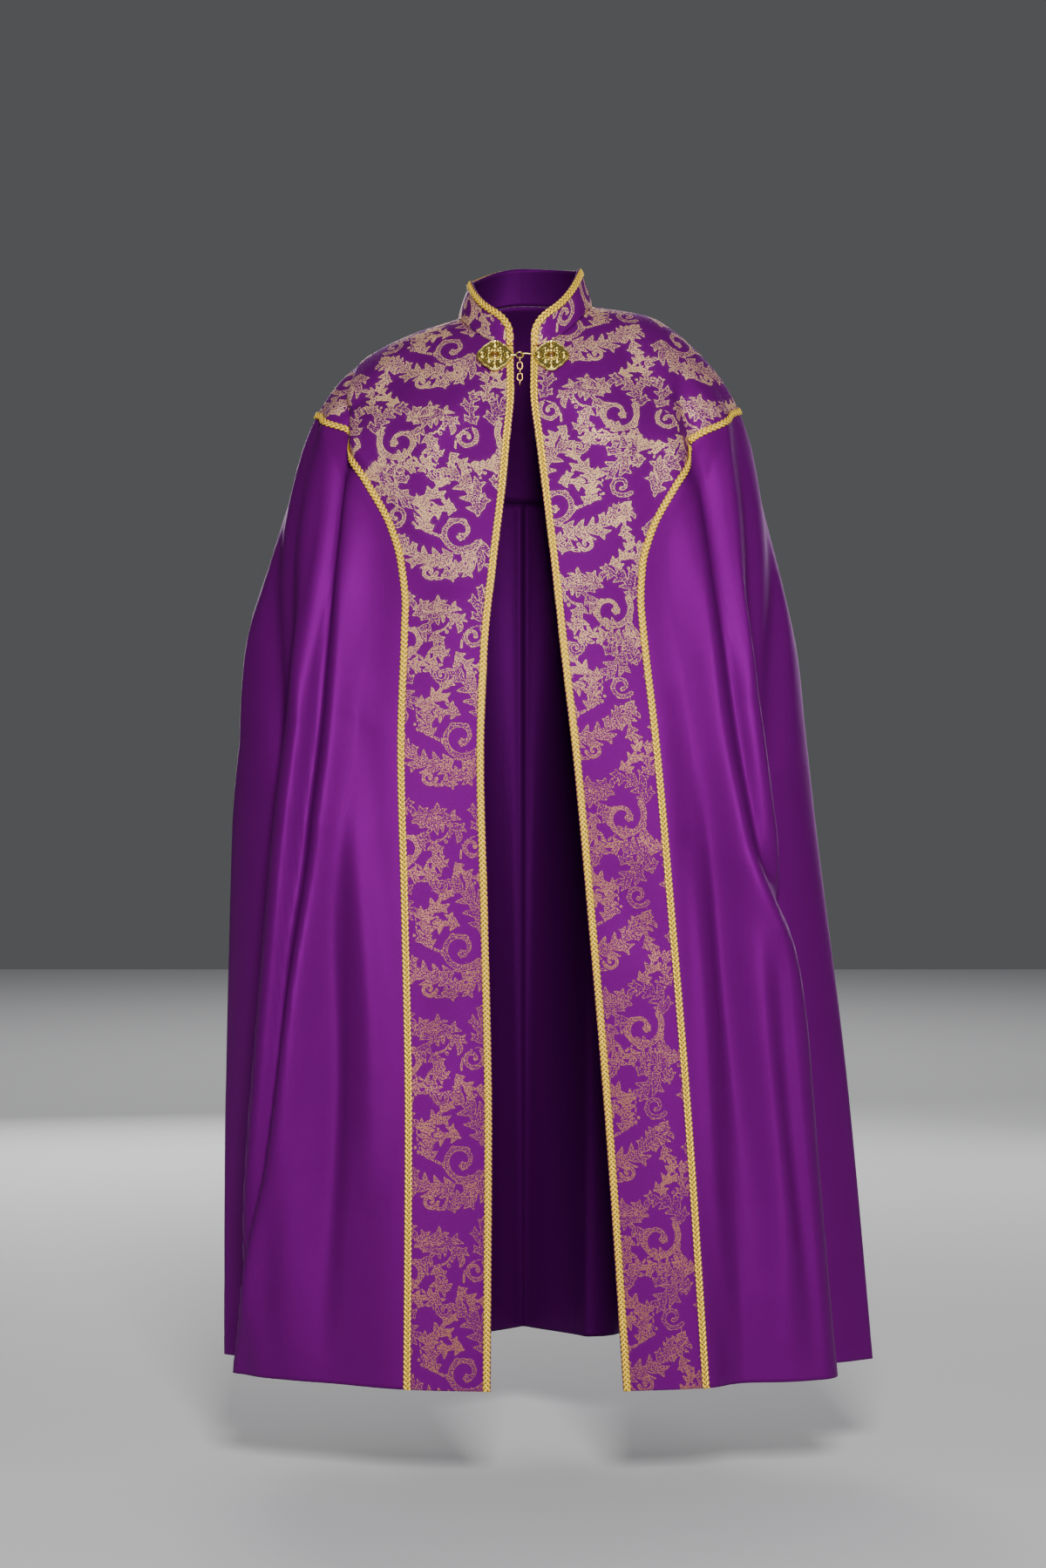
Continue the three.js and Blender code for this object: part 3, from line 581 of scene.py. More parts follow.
# Woven ornament: leafy scrolls in a tile that repeats down and across the brocade. Every scroll and
# leaf is a curved stroke of changing width.
TILE_WIDE = 150
TILE_HIGH = 262
FIELD_STEP = 0.5
OUTLINE_MARGIN = 6.0
OUTLINE_GAP = 1.5
STROKE_SPACING = 0.8
SCROLL_STEPS = 60
SHADE_STEP = 0.37
SCROLL_COLUMNS = ("x", "y", "radius", "start", "hand")
SCROLLS = {
    "great left": (42, 64, 27, 215, 1),
    "great right": (112, 190, 28, 35, -1),
    "small lower": (122, 92, 15, 320, -1),
    "small upper": (28, 190, 15, 140, 1),
    "bud": (82, 14, 10, 190, 1),
    "high bud": (66, 142, 10, 10, -1),
}
FROND_COLUMNS = ("x", "y", "angle", "long", "bend", "lobes")
FRONDS = {
    "outer sweep": (16, 52, 262, 56, 112, 4),
    "under sweep": (50, 36, 335, 64, 78, 4),
    "inner curl": (44, 92, 24, 50, -92, 3),
    "rising long": (17, 84, 86, 72, -56, 4),
    "rising short": (78, 64, 66, 48, 60, 3),
    "right sweep": (140, 204, 82, 56, 112, 4),
    "right under": (102, 220, 155, 62, 78, 4),
    "right curl": (108, 160, 204, 50, -92, 3),
    "falling long": (138, 172, 266, 72, -54, 4),
    "falling short": (78, 196, 246, 46, 60, 3),
    "cross leaf": (98, 104, 168, 52, -62, 3),
    "high leaf": (52, 226, 350, 50, -62, 3),
    "side leaf": (136, 72, 232, 46, 74, 3),
    "small leaf": (14, 208, 58, 44, 74, 3),
    "fill low": (100, 36, 66, 44, -74, 3),
    "fill high": (48, 170, 244, 42, -76, 3),
    "fill middle": (104, 132, 52, 44, 66, 3),
    "fill top": (4, 240, 124, 40, -70, 3),
    "left gap": (22, 150, 196, 42, -70, 3),
    "right gap": (142, 118, 96, 44, 66, 3),
    "low gap": (66, 8, 170, 46, -64, 3),
    "high gap": (112, 250, 20, 42, 70, 3),
}
STEM_COLUMNS = ("x_start", "y_start", "x_end", "y_end", "bend", "wide")
STEMS = {
    "rising left": (78, 4, 20, 46, 16, 1.7),
    "through": (68, 60, 98, 108, -12, 1.5),
    "rising right": (76, 136, 134, 172, 16, 1.7),
    "upper through": (86, 196, 54, 224, 12, 1.5),
    "tendril": (108, 52, 132, 78, -10, 1.3),
    "tendril high": (42, 176, 18, 204, -9, 1.3),
}
BERRY_COLUMNS = ("x", "y", "size")
BERRIES = {
    "one": (96, 74, 2.4),
    "two": (100, 80, 2.0),
    "three": (60, 196, 2.4),
    "four": (56, 202, 2.0),
    "five": (142, 120, 2.2),
    "six": (6, 140, 2.2),
    "seven": (12, 134, 1.8),
    "eight": (136, 246, 2.0),
}


def named(columns, rows):
    """A table's rows, each with its values by name."""
    return [dict(zip(columns, row)) for row in rows.values()]


def stroke(points, radii):
    """Circles along a line of points, close enough to read as one stroke."""
    points = np.asarray(points, float)
    along = along_line(points)
    t = np.linspace(0, along[-1], max(4, int(along[-1] / STROKE_SPACING)))
    return np.stack([np.interp(t, along, values) for values in (*points.T, radii)], -1)


def bent(start, angle, long, bend, steps=24):
    """A curved line: it starts in one direction and turns by "bend" degrees along its length."""
    t = np.linspace(0, 1, steps)
    turn = np.radians(angle + bend * t)
    step = long / (steps - 1)
    x = start[0] + np.concatenate([[0], np.cumsum(np.cos(turn[:-1]) * step)])
    y = start[1] + np.concatenate([[0], np.cumsum(np.sin(turn[:-1]) * step)])
    return np.stack([x, y], -1)


def lobe(start, angle, long, bend, wide):
    """One lobe of a leaf: broad at the foot, with a pointed tip."""
    points = bent(start, angle, long, bend, 14)
    t = np.linspace(0, 1, len(points))
    return stroke(points, wide * (0.62 + 0.38 * np.sin(math.pi * t ** 0.8)) * (1 - t ** 2.3) + 0.6)


def frond(x, y, angle, long, bend, lobes):
    """A broad leaf with a curved spine and pointed lobes that hook towards its curling tip."""
    spine = bent((x, y), angle, long, bend)
    t = np.linspace(0, 1, len(spine))
    made = [stroke(spine, long * (0.026 + 0.05 * np.sin(math.pi * t ** 0.72)) * (1 - 0.35 * t))]
    for k in range(lobes):
        part = (k + 0.35) / lobes
        at = spine[int(part * (len(spine) - 1))]
        heading = angle + bend * part
        swell = math.sin(math.pi * (0.24 + 0.6 * part))
        for side in (-1, 1):
            outer_side = side * bend < 0
            size = long * (0.46 if outer_side else 0.27) * swell
            lean = side * (50 - 12 * part)
            made.append(lobe(at, heading + lean, size, -side * 44 if outer_side else side * 30,
                             0.165 * size + 0.7))
            if outer_side:
                side_at = bent(at, heading + lean, size * 0.5, -side * 22, 8)[-1]
                made.append(lobe(side_at, heading + lean + side * 30, size * 0.42, side * 20, 0.1 * size))
    made.append(lobe(spine[-1], angle + bend, long * 0.24, bend * 1.1, long * 0.062))
    return made


def scroll(x, y, radius, start, hand):
    """A loose curl that ends in a small rosette."""
    t = np.linspace(0, 1, SCROLL_STEPS)
    reach = radius * (1 - 0.74 * t ** 0.9)
    angle = np.radians(start) + hand * t * math.radians(400)
    points = np.stack([x + reach * np.cos(angle), y + reach * np.sin(angle)], -1)
    made = [stroke(points, 1.5 + radius * (0.085 - 0.06 * t))]
    end = points[-1]
    petal = radius * 0.13
    for k in range(5):
        around = math.radians(72 * k + start)
        made.append(np.array([[end[0] + petal * math.cos(around), end[1] + petal * math.sin(around),
                               petal * 0.62]]))
    for part in (0.12, 0.3, 0.47, 0.62):
        k = int(part * (SCROLL_STEPS - 1))
        ahead = points[k + 1] - points[k]
        heading = math.degrees(math.atan2(ahead[1], ahead[0]))
        made.append(lobe(points[k], heading - hand * 46, radius * (0.52 - 0.35 * part), hand * 58,
                         radius * 0.07))
    return made


def stem(x_start, y_start, x_end, y_end, bend, wide):
    """A thin bowed stem between two places."""
    t = np.linspace(0, 1, 30)
    normal = np.array([y_start - y_end, x_end - x_start]) / math.hypot(x_end - x_start, y_end - y_start)
    line = (np.outer(1 - t, (x_start, y_start)) + np.outer(t, (x_end, y_end))
            + np.outer(np.sin(math.pi * t) * bend, normal))
    return [stroke(line, wide * (0.8 + 0.3 * np.cos(math.pi * t)))]


def berry(x, y, size):
    """A single circle."""
    return [np.array([[x, y, size]], float)]


def ornament_field():
    """Signed distance to the nearest leaf edge over one tile, positive inside, and each leaf's shade.
    A shape that lies over another keeps a line of ground round it."""
    shapes = []
    for make, columns, rows in ((stem, STEM_COLUMNS, STEMS), (frond, FROND_COLUMNS, FRONDS),
                                (scroll, SCROLL_COLUMNS, SCROLLS), (berry, BERRY_COLUMNS, BERRIES)):
        shapes += [make(**row) for row in named(columns, rows)]
    size = [int(round(long / FIELD_STEP)) for long in (TILE_HIGH, TILE_WIDE)]
    field = np.full(size, -OUTLINE_MARGIN)
    shade = np.zeros(size)
    for number, shape in enumerate(shapes):
        circles = np.concatenate(shape)
        low = circles[:, :2].min(0) - circles[:, 2].max() - OUTLINE_MARGIN
        high = circles[:, :2].max(0) + circles[:, 2].max() + OUTLINE_MARGIN
        columns, rows = (np.arange(int(a / FIELD_STEP), int(b / FIELD_STEP) + 1)
                         for a, b in zip(low, high))
        y, x = np.meshgrid(rows * FIELD_STEP, columns * FIELD_STEP, indexing="ij")
        best = np.full(x.shape, -np.inf)
        for cx, cy, r in circles:
            best = np.maximum(best, r - np.hypot(x - cx, y - cy))
        where = np.ix_(rows % size[0], columns % size[1])
        under = np.minimum(field[where], -(best + OUTLINE_GAP))
        shade[where] = np.where(best > under, number * SHADE_STEP % 1, shade[where])
        field[where] = np.maximum(under, best)
    return field, shade


def sample_field(field, x, y):
    """The tile's value at flat places in millimetres, wrapped round and smoothed between cells."""
    rows, columns = field.shape
    a = (y / FIELD_STEP) % rows
    b = (x / FIELD_STEP) % columns
    i, j = a.astype(int) % rows, b.astype(int) % columns
    return bilinear(field, i, j, (i + 1) % rows, (j + 1) % columns, a - np.floor(a), b - np.floor(b))


def flat_layout(name, grid, used):
    """Lays a coarse lattice of the cloth out flat with little stretch. "used" marks its cells."""
    cells = [((i, j), (i + 1, j), (i + 1, j + 1), (i, j + 1)) for i, j in np.argwhere(used).tolist()]
    corners = sorted({corner for cell in cells for corner in cell})
    index = {corner: k for k, corner in enumerate(corners)}
    faces = [[index[corner] for corner in cell] for cell in cells]
    mesh = bpy.data.meshes.new(name)
    mesh.from_pydata([(grid[c] * MM).tolist() for c in corners], [], faces)
    mesh.uv_layers.new(name="flat")
    obj = in_scene(name, mesh)
    for other in bpy.context.view_layer.objects:
        other.select_set(other == obj)
    bpy.context.view_layer.objects.active = obj
    bpy.ops.object.mode_set(mode="EDIT")
    bpy.ops.mesh.select_all(action="SELECT")
    bpy.ops.uv.unwrap(method="MINIMUM_STRETCH", iterations=40)
    bpy.ops.object.mode_set(mode="OBJECT")
    flat = np.zeros((len(corners), 2))
    for loop, uv in zip(mesh.loops, mesh.uv_layers["flat"].uv):
        flat[loop.vertex_index] = uv.vector
    real_area = sum(p.area for p in mesh.polygons) / MM ** 2
    a, b, c, d = (flat[[face[k] for face in faces]] for k in range(4))
    flat_area = 0.5 * (np.cross(b - a, c - a) + np.cross(c - a, d - a)).sum()
    if flat_area < 0:
        flat[:, 0] *= -1
    flat *= math.sqrt(real_area / abs(flat_area))
    bpy.data.objects.remove(obj)
    bpy.data.meshes.remove(mesh)
    layout = np.zeros(grid.shape[:2] + (2,))
    for corner, k in index.items():
        layout[corner] = flat[k]
    return layout


def set_upright(layout, foot, top):
    """Turns a layout until the line between two of its corners is upright, its foot at the origin."""
    foot, top = layout[foot], layout[top]
    lean = math.atan2(top[0] - foot[0], top[1] - foot[1])
    turn = np.array([[math.cos(lean), -math.sin(lean)], [math.sin(lean), math.cos(lean)]])
    return (layout - foot) @ turn.T


def flat_places(sheet, layout, row_marks, column_marks):
    """Flat places of a sheet's points. The marks pair its rows and columns with those of the layout."""
    keys = np.array(list(sheet.index))
    row, column = np.interp(keys[:, 0], *row_marks), np.interp(keys[:, 1], *column_marks)
    i = np.clip(row.astype(int), 0, layout.shape[0] - 2)
    j = np.clip(column.astype(int), 0, layout.shape[1] - 2)
    return bilinear(layout, i, j, i + 1, j + 1, (row - i)[:, None], (column - j)[:, None])


# Mesh density of the cloth: cells across each zone and down the rows
BAND_CELLS = 84
FRONT_CELLS = 108
YOKE_CELLS = 144
BAND_ROW_CELLS = 672
BACK_CELLS = 130
YOKE_BACK_ROW_CELLS = 120
BODY_FRONT_CELLS = 64
BODY_BACK_CELLS = 92
BODY_ROW_CELLS = 225
# Rows and columns of the outer face that one cell of the inner face takes up
BROCADE_STEP = (4, 4)
BODY_FRONT_STEP = (2, 1)
BODY_BACK_STEP = (2, 2)
COLLAR_STEP = (3, 3)
# Cells of the coarse lattices that are laid out flat. A front edge is set upright from the hem to
# UPRIGHT_ROW.
LAYOUT_BAND = 8
LAYOUT_FRONT = 11
LAYOUT_BACK = 13
LAYOUT_YOKE_ROWS = 12
LAYOUT_BAND_ROWS = 60
UPRIGHT_ROW = 25
# Walls, the depth and half width of the lines that are sewn or pressed into the cloth, and the hem
WALL = 1.6
BODY_WALL = 2.2
COLLAR_WALL = 2.0
SEAM_DIP = (0.9, 2.2)
BACK_SEAM_DIP = (1.2, 3)
HEM_DIP = (0.35, 2.5)
HEM = 26
# Where the tile of leaves starts on each brocade
TILE_SHIFTS = {"right": (12, 40), "left": (52, 8), "back": (TILE_WIDE / 2, 30), "collar": (30, 168)}
FIELD, SHADE = ornament_field()


def rows_between(v_from, v_to, cells):
    return np.linspace(v_from, v_to, cells + 1)


def mark_cloth(obj, sheet, x, y):
    """What every cloth's finish reads: its flat place, and 1 on the outer face."""
    add_attribute(obj, "flat_place", sheet.spread(np.stack([x, y, np.zeros_like(x)], -1)))
    outer = np.zeros(len(obj.data.vertices))
    outer[: sheet.count] = 1
    add_attribute(obj, "outer", outer)


def mark_brocade(obj, sheet, flat, shift):
    """What the brocade's finish reads besides: the distance to a leaf's edge and the leaf's shade."""
    x, y = flat[:, 0] + shift[0], flat[:, 1] + shift[1]
    add_attribute(obj, "leaf_edge", sheet.spread(sample_field(FIELD, x, y)))
    add_attribute(obj, "shade", sheet.spread(sample_field(SHADE, x, y)))
    mark_cloth(obj, sheet, x, y)


def yoke_band(side):
    """Brocade front: the band from hem to neckline and the yoke over the shoulder."""
    rows = np.concatenate([rows_between(0, YOKE_EDGE, YOKE_CELLS),
                           rows_between(YOKE_EDGE, 1, BAND_ROW_CELLS)[1:]])
    all_columns = BAND_CELLS + FRONT_CELLS
    sheet = Sheet()
    sheet.add(side, "band", rows, range(BAND_CELLS + 1), BROCADE_STEP)
    sheet.add(side, "front", rows[: YOKE_CELLS + 1], range(BAND_CELLS, all_columns + 1), BROCADE_STEP)
    s, v = np.array(sheet.s), np.array(sheet.v)
    sheet.dip(np.where(v > YOKE_EDGE + 0.001, np.inf, s - side.side_at(v)), *SEAM_DIP)
    coarse_rows = np.concatenate([rows_between(0, YOKE_EDGE, LAYOUT_YOKE_ROWS),
                                  rows_between(YOKE_EDGE, 1, LAYOUT_BAND_ROWS)[1:]])
    s1, v1 = lattice(side, "band", np.linspace(0, 1, LAYOUT_BAND + 1), coarse_rows)
    s2, v2 = lattice(side, "front", np.linspace(0, 1, LAYOUT_FRONT + 1)[1:], coarse_rows)
    grid = side.point(np.concatenate([s1, s2], 1), np.concatenate([v1, v2], 1))
    used = np.zeros((LAYOUT_YOKE_ROWS + LAYOUT_BAND_ROWS, LAYOUT_BAND + LAYOUT_FRONT), bool)
    used[:, :LAYOUT_BAND] = True
    used[:LAYOUT_YOKE_ROWS] = True
    layout = set_upright(flat_layout("layout_" + side.name, grid, used), (-1, 0), (UPRIGHT_ROW, 0))
    if layout[-1, LAYOUT_BAND, 0] < 0:
        layout[..., 0] *= -1
    flat = flat_places(sheet, layout,
                       ((0, YOKE_CELLS, YOKE_CELLS + BAND_ROW_CELLS),
                        (0, LAYOUT_YOKE_ROWS, LAYOUT_YOKE_ROWS + LAYOUT_BAND_ROWS)),
                       ((0, BAND_CELLS, all_columns), (0, LAYOUT_BAND, LAYOUT_BAND + LAYOUT_FRONT)))
    obj = sheet.build("yoke_band_" + side.name + "_cloth", WALL)
    mark_brocade(obj, sheet, flat, TILE_SHIFTS[side.name])
    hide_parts("yoke_band_" + side.name)
    return obj


def yoke_back():
    """Brocade back yoke, from shoulder seam to shoulder seam."""
    rows = rows_between(0, YOKE_EDGE, YOKE_BACK_ROW_CELLS)
    all_columns = 2 * BACK_CELLS
    sheet = Sheet()
    sheet.add(RIGHT, "back", rows, range(BACK_CELLS + 1), BROCADE_STEP)
    sheet.add(LEFT, "back", rows, range(all_columns, BACK_CELLS - 1, -1), BROCADE_STEP)
    s, v = np.array(sheet.s), np.array(sheet.v)
    on_right = np.array(sheet.points)[:, 0] <= 0
    sheet.dip(s - np.where(on_right, RIGHT.side_at(v), LEFT.side_at(v)), *SEAM_DIP)
    coarse_rows = rows_between(0, YOKE_EDGE, LAYOUT_YOKE_ROWS)
    coarse_parts = np.linspace(0, 1, LAYOUT_BACK + 1)
    s1, v1 = lattice(RIGHT, "back", coarse_parts, coarse_rows)
    s2, v2 = lattice(LEFT, "back", coarse_parts[:-1], coarse_rows)
    grid = np.concatenate([RIGHT.point(s1, v1), LEFT.point(s2, v2)[:, ::-1]], 1)
    used = np.ones((LAYOUT_YOKE_ROWS, 2 * LAYOUT_BACK), bool)
    layout = set_upright(flat_layout("layout_back", grid, used), (-1, LAYOUT_BACK), (0, LAYOUT_BACK))
    flat = flat_places(sheet, layout, ((0, YOKE_BACK_ROW_CELLS), (0, LAYOUT_YOKE_ROWS)),
                       ((0, all_columns), (0, 2 * LAYOUT_BACK)))
    obj = sheet.build("yoke_back_cloth", WALL)
    mark_brocade(obj, sheet, flat, TILE_SHIFTS["back"])
    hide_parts("yoke_back")
    return obj


def body(side):
    """Plain satin from the band and yoke seam to the centre back seam."""
    rows = rows_between(YOKE_EDGE, 1, BODY_ROW_CELLS)
    sheet = Sheet()
    sheet.add(side, "front", rows, range(BODY_FRONT_CELLS + 1), BODY_FRONT_STEP)
    sheet.add(side, "back", rows, range(BODY_FRONT_CELLS, BODY_FRONT_CELLS + BODY_BACK_CELLS + 1),
              BODY_BACK_STEP)
    s, v = np.array(sheet.s), np.array(sheet.v)
    sheet.dip(side.long_at(v) - s, *BACK_SEAM_DIP)
    # A pressed line where the hem is sewn up inside
    sheet.dip((1 - v) * LEVEL_LONG - HEM, *HEM_DIP)
    obj = sheet.build("body_" + side.name + "_cloth", BODY_WALL)
    mark_cloth(obj, sheet, s, v * LEVEL_LONG)
    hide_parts("body_" + side.name)
    return obj


collar_rows = table(COLLAR_COLUMNS, COLLAR)
collar_high = curve(collar_rows["s"], collar_rows["high"])
collar_lean = curve(collar_rows["s"], collar_rows["lean"])
SEAM_GAP = 0.3
COLLAR_CELLS = 150
COLLAR_ROW_CELLS = 30
COLLAR_END = 24
COLLAR_END_CELLS = 24
COLLAR_REACH = 6
COLLAR_NORMAL_REACH = 1.5
COLLAR_LEAN_POWER = 1.4
# The collar stops this far before the centre back, so that both halves share the line there
BACK_MARGIN = 0.01
# Soft dents where the stiffened collar bends at the throat: place, half width and height
COLLAR_DENTS = ((52, 9, -0.8), (74, 10, 0.7))


def collar_top(s):
    """Height of the collar's top line, with its rounded front end."""
    into_round = np.clip(COLLAR_ROUND - s, 0, None)
    return collar_high(s) - (COLLAR_ROUND - np.sqrt(COLLAR_ROUND ** 2 - into_round ** 2))


def collar_point(side, s, high):
    """A point of the collar's face, s from the front end and "high" above its foot."""
    s, high = np.broadcast_arrays(np.asarray(s, float), np.asarray(high, float))
    zero = np.zeros_like(s)
    foot = side.point(s, zero)
    tx, ty, mix = side.ring_direction(s, zero, COLLAR_REACH)
    tx, ty = tx * mix - (1 - mix) * 2 * COLLAR_REACH, ty * mix
    size = np.hypot(tx, ty)
    outward = np.stack([side.sign * ty / size, -tx / size, zero], -1)
    share = high / collar_high(s)
    point = foot + np.stack([zero, zero, SEAM_GAP + high], -1)
    return point - outward * (collar_lean(s) * share ** COLLAR_LEAN_POWER)[..., None]


def collar_frame(side, s, high):
    """Collar points with their outward normals."""
    reach = COLLAR_NORMAL_REACH
    across = collar_point(side, s + reach, high) - collar_point(side, np.maximum(s - reach, 0), high)
    up = collar_point(side, s, high + reach) - collar_point(side, s, np.maximum(high - reach, 0))
    return collar_point(side, s, high), unit(np.cross(across, up) * side.sign)


def collar():
    """Brocade standing collar."""
    points, normals, flat = [], [], []
    shares = np.linspace(0, 1, COLLAR_ROW_CELLS + 1)
    for side in SIDES:
        near = np.linspace(0, COLLAR_END, COLLAR_END_CELLS + 1)
        far = np.linspace(COLLAR_END, side.long[0] - BACK_MARGIN, COLLAR_CELLS)[1:]
        places = np.concatenate([near, far])
        s, share = np.meshgrid(places if side is RIGHT else places[::-1][1:], shares)
        high = share * collar_top(s)
        p, n = collar_frame(side, s, high)
        dent = sum(rise * np.exp(-((s - at) / wide) ** 2) for at, wide, rise in COLLAR_DENTS)
        points.append(p + n * (dent * np.sin(math.pi * share))[..., None])
        normals.append(n)
        flat.append(np.stack([s if side is RIGHT else 2 * RIGHT.long[0] - s, high], -1))
    points, normals, flat = (np.concatenate(parts, 1) for parts in (points, normals, flat))
    sheet = Sheet()
    sheet.points = list(points.reshape(-1, 3))
    sheet.normals = list(normals.reshape(-1, 3))
    sheet.quads = [(np.arange(len(sheet.points)).reshape(points.shape[:2]), False, COLLAR_STEP)]
    obj = sheet.build("collar_cloth", COLLAR_WALL)
    mark_brocade(obj, sheet, flat.reshape(-1, 2), TILE_SHIFTS["collar"])
    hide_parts("collar")
    return obj


# Looped braid: three strands plaited flat, lying on the cloth. A strand's half width and the places of
# the backing strip's edges are shares of the braid's width.
BRAID_WIDTH = 10
HALF_BRAID = BRAID_WIDTH / 2
PLAIT_WIDE = 9.6
BRAID_PITCH = 18.6
BRAID_STEPS = 16
STRANDS = 3
STRAND_SIDES = 6
STRAND_SHARE = 0.155
STRAND_HIGH = 0.85
STRAND_LIFT = 0.6
STRAND_LEAD = 0.4
STRAND_SWELL = 0.25
LIE_GAP = 0.35
STRIP = ((-0.36, 0.30), (-0.2, 0.9), (0.2, 0.9), (0.36, 0.30))


def ring_faces(base, rings, sides, closed=False):
    """Cells between rings of points, which are numbered from "base"."""
    faces = []
    for i in range(rings if closed else rings - 1):
        here, there = base + i * sides, base + (i + 1) % rings * sides
        for j in range(sides):
            j2 = (j + 1) % sides
            faces.append((here + j, here + j2, there + j2, there + j))
    return faces


def end_faces(base, rings, sides):
    """A face over the first ring and one over the last."""
    last = base + (rings - 1) * sides
    return [tuple(range(base, base + sides))[::-1], tuple(range(last, last + sides))]


def even(points, normals, step):
    """Points at an even step along a line, with their normals and distances."""
    along = along_line(points)
    t = np.linspace(0, along[-1], max(2, int(round(along[-1] / step)) + 1))
    p, n = (np.stack([np.interp(t, along, values) for values in lines.T], -1)
            for lines in (points, normals))
    return p, unit(n), t


def braid(name, points, normals, node=None):
    """A plait along a line of the surface, with a flat backing strip under it."""
    p, n, t = even(points, normals, BRAID_PITCH / BRAID_STEPS)
    across = unit(np.cross(n, unit(np.gradient(p, axis=0))))
    radius = PLAIT_WIDE * STRAND_SHARE
    angles = 2 * math.pi * (np.arange(STRAND_SIDES) + 0.5) / STRAND_SIDES
    around = np.clip(np.sin(angles) + 0.15, 0, 1)
    vertices, faces, painted_strand_light = [], [], []
    for strand in range(STRANDS):
        phase = 2 * math.pi * (t / BRAID_PITCH) + 2 * math.pi * strand / STRANDS
        height = np.sin(2 * phase + STRAND_LEAD)
        beside = (PLAIT_WIDE / 2 - radius) * np.sin(phase)
        rise = LIE_GAP + STRAND_HIGH + STRAND_LIFT * (1 + height)
        centre = p + across * beside[:, None] + n * rise[:, None]
        forward = unit(np.gradient(centre, axis=0))
        flat_across = unit(np.cross(n, forward))
        flat_out = np.cross(forward, flat_across)
        swell = radius * (1 - STRAND_SWELL * np.cos(2 * phase))
        rings = [centre + flat_across * (swell * math.cos(angle))[:, None]
                 + flat_out * (STRAND_HIGH * math.sin(angle)) for angle in angles]
        base = strand * len(t) * STRAND_SIDES
        vertices.append(np.stack(rings, 1).reshape(-1, 3))
        # Painted light: each strand is painted lighter on top and where it passes over, darker on its sides
        # and where it passes under.
        painted_strand_light.append((around * (0.65 + 0.35 * height[:, None])).ravel())
        faces += ring_faces(base, len(t), STRAND_SIDES) + end_faces(base, len(t), STRAND_SIDES)
    # Backing strip: a low arch with its edges on the cloth, at every second place
    strip = np.stack([p[::2] + across[::2] * (PLAIT_WIDE * a) + n[::2] * b for a, b in STRIP], 1)
    base = STRANDS * len(t) * STRAND_SIDES
    vertices.append(strip.reshape(-1, 3))
    # The backing strip gets no painted light, so it takes the braid's painted shade colour.
    painted_strand_light.append(np.zeros(strip.size // 3))
    faces += [(b, a, d, c) for a, b, c, d in ring_faces(base, len(strip), len(STRIP))]
    obj = new_object(name + "_plait", np.concatenate(vertices), faces)
    add_attribute(obj, "painted_strand_light", np.concatenate(painted_strand_light))
    if node:
        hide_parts(node)
    return obj


# Clasp and chain, as in the frame
PLATE_WIDE = 48
PLATE_HIGH = 49
PLATE_THICK = 2.2
PLATE_FROM_EDGE = 24
PLATE_LEVEL = 0.0165
PLATE_X = 36
EYE_X = -4
EYE_RADIUS = 4.6
WIRE_RADIUS = 0.95
LINK_LONG = 11
LINK_WIDE = 8.2
LINK_WIRE = 0.85
LINK_COUNT = 5
FRAME_BRAID_HIGH = 1.65
# Extra width taken for the braid under a plate, and the gap between a plate and what it lies on
BRAID_MARGIN = 2
PLATE_GAP = 0.4
PLATE_PROBES = 8
WIRE_SIDES = 12
WIRE_STEPS = 48
LINE_STEPS = 40
LINE_ROUNDS = 4


def clasp_frame():
    """Middle, across, up and outward of the plane that both plates lie in."""
    s = np.full(2, float(PLATE_FROM_EDGE))
    points = [side.point(s, PLATE_LEVEL)[0] for side in SIDES]
    normals = [side.normal(s, PLATE_LEVEL)[0] for side in SIDES]
    middle = (points[0] + points[1]) / 2
    outward = normals[0] + normals[1]
    outward[0] = 0
    outward /= np.linalg.norm(outward)
    lift = 0
    for side in SIDES:
        ss, vv = np.meshgrid(np.arange(0, 2 * PLATE_FROM_EDGE + 1, 2.0),
                             np.arange(2 * PLATE_PROBES + 1) * PLATE_LEVEL / PLATE_PROBES)
        inside = np.abs(ss / PLATE_FROM_EDGE - 1) + np.abs(vv / PLATE_LEVEL - 1) <= 1
        ss, vv = ss[inside], vv[inside]
        covered = np.where(ss <= BRAID_WIDTH + BRAID_MARGIN, FRAME_BRAID_HIGH, 0)
        p = side.point(ss, vv) + side.normal(ss, vv) * covered[:, None]
        lift = max(lift, float(((p - middle) @ outward).max()))
    middle[0] = 0
    return (middle + outward * (lift + PLATE_GAP), np.array([1.0, 0, 0]), np.cross(outward, [1, 0, 0]),
            outward)


CLASP = clasp_frame()


def on_clasp(local):
    """Points of the clasp's own frame, put in place."""
    middle, across, up, outward = CLASP
    local = np.asarray(local, float)
    return middle + local[..., :1] * across + local[..., 1:2] * up + local[..., 2:3] * outward


def tube(path, radius, closed=False):
    """Points and faces of a round wire along a path."""
    path = np.asarray(path, float)
    radius = np.broadcast_to(np.asarray(radius, float), len(path))
    if closed:
        tangent = np.roll(path, -1, 0) - np.roll(path, 1, 0)
    else:
        tangent = np.gradient(path, axis=0)
    tangent = unit(tangent)
    reference = np.cross(tangent[0], tangent[len(path) // 3])
    if np.linalg.norm(reference) < 1e-6:
        reference = np.array([0, 0, 1.0]) if abs(tangent[0][2]) < 0.9 else np.array([1.0, 0, 0])
    reference = reference / np.linalg.norm(reference)
    points = []
    for p, t, r in zip(path, tangent, radius):
        a = reference - t * (reference @ t)
        a /= np.linalg.norm(a)
        reference = a
        b = np.cross(t, a)
        for j in range(WIRE_SIDES):
            angle = 2 * math.pi * j / WIRE_SIDES
            points.append(p + r * (math.cos(angle) * a + math.sin(angle) * b))
    faces = ring_faces(0, len(path), WIRE_SIDES, closed)
    if not closed:
        faces += end_faces(0, len(path), WIRE_SIDES)
    return np.array(points), faces


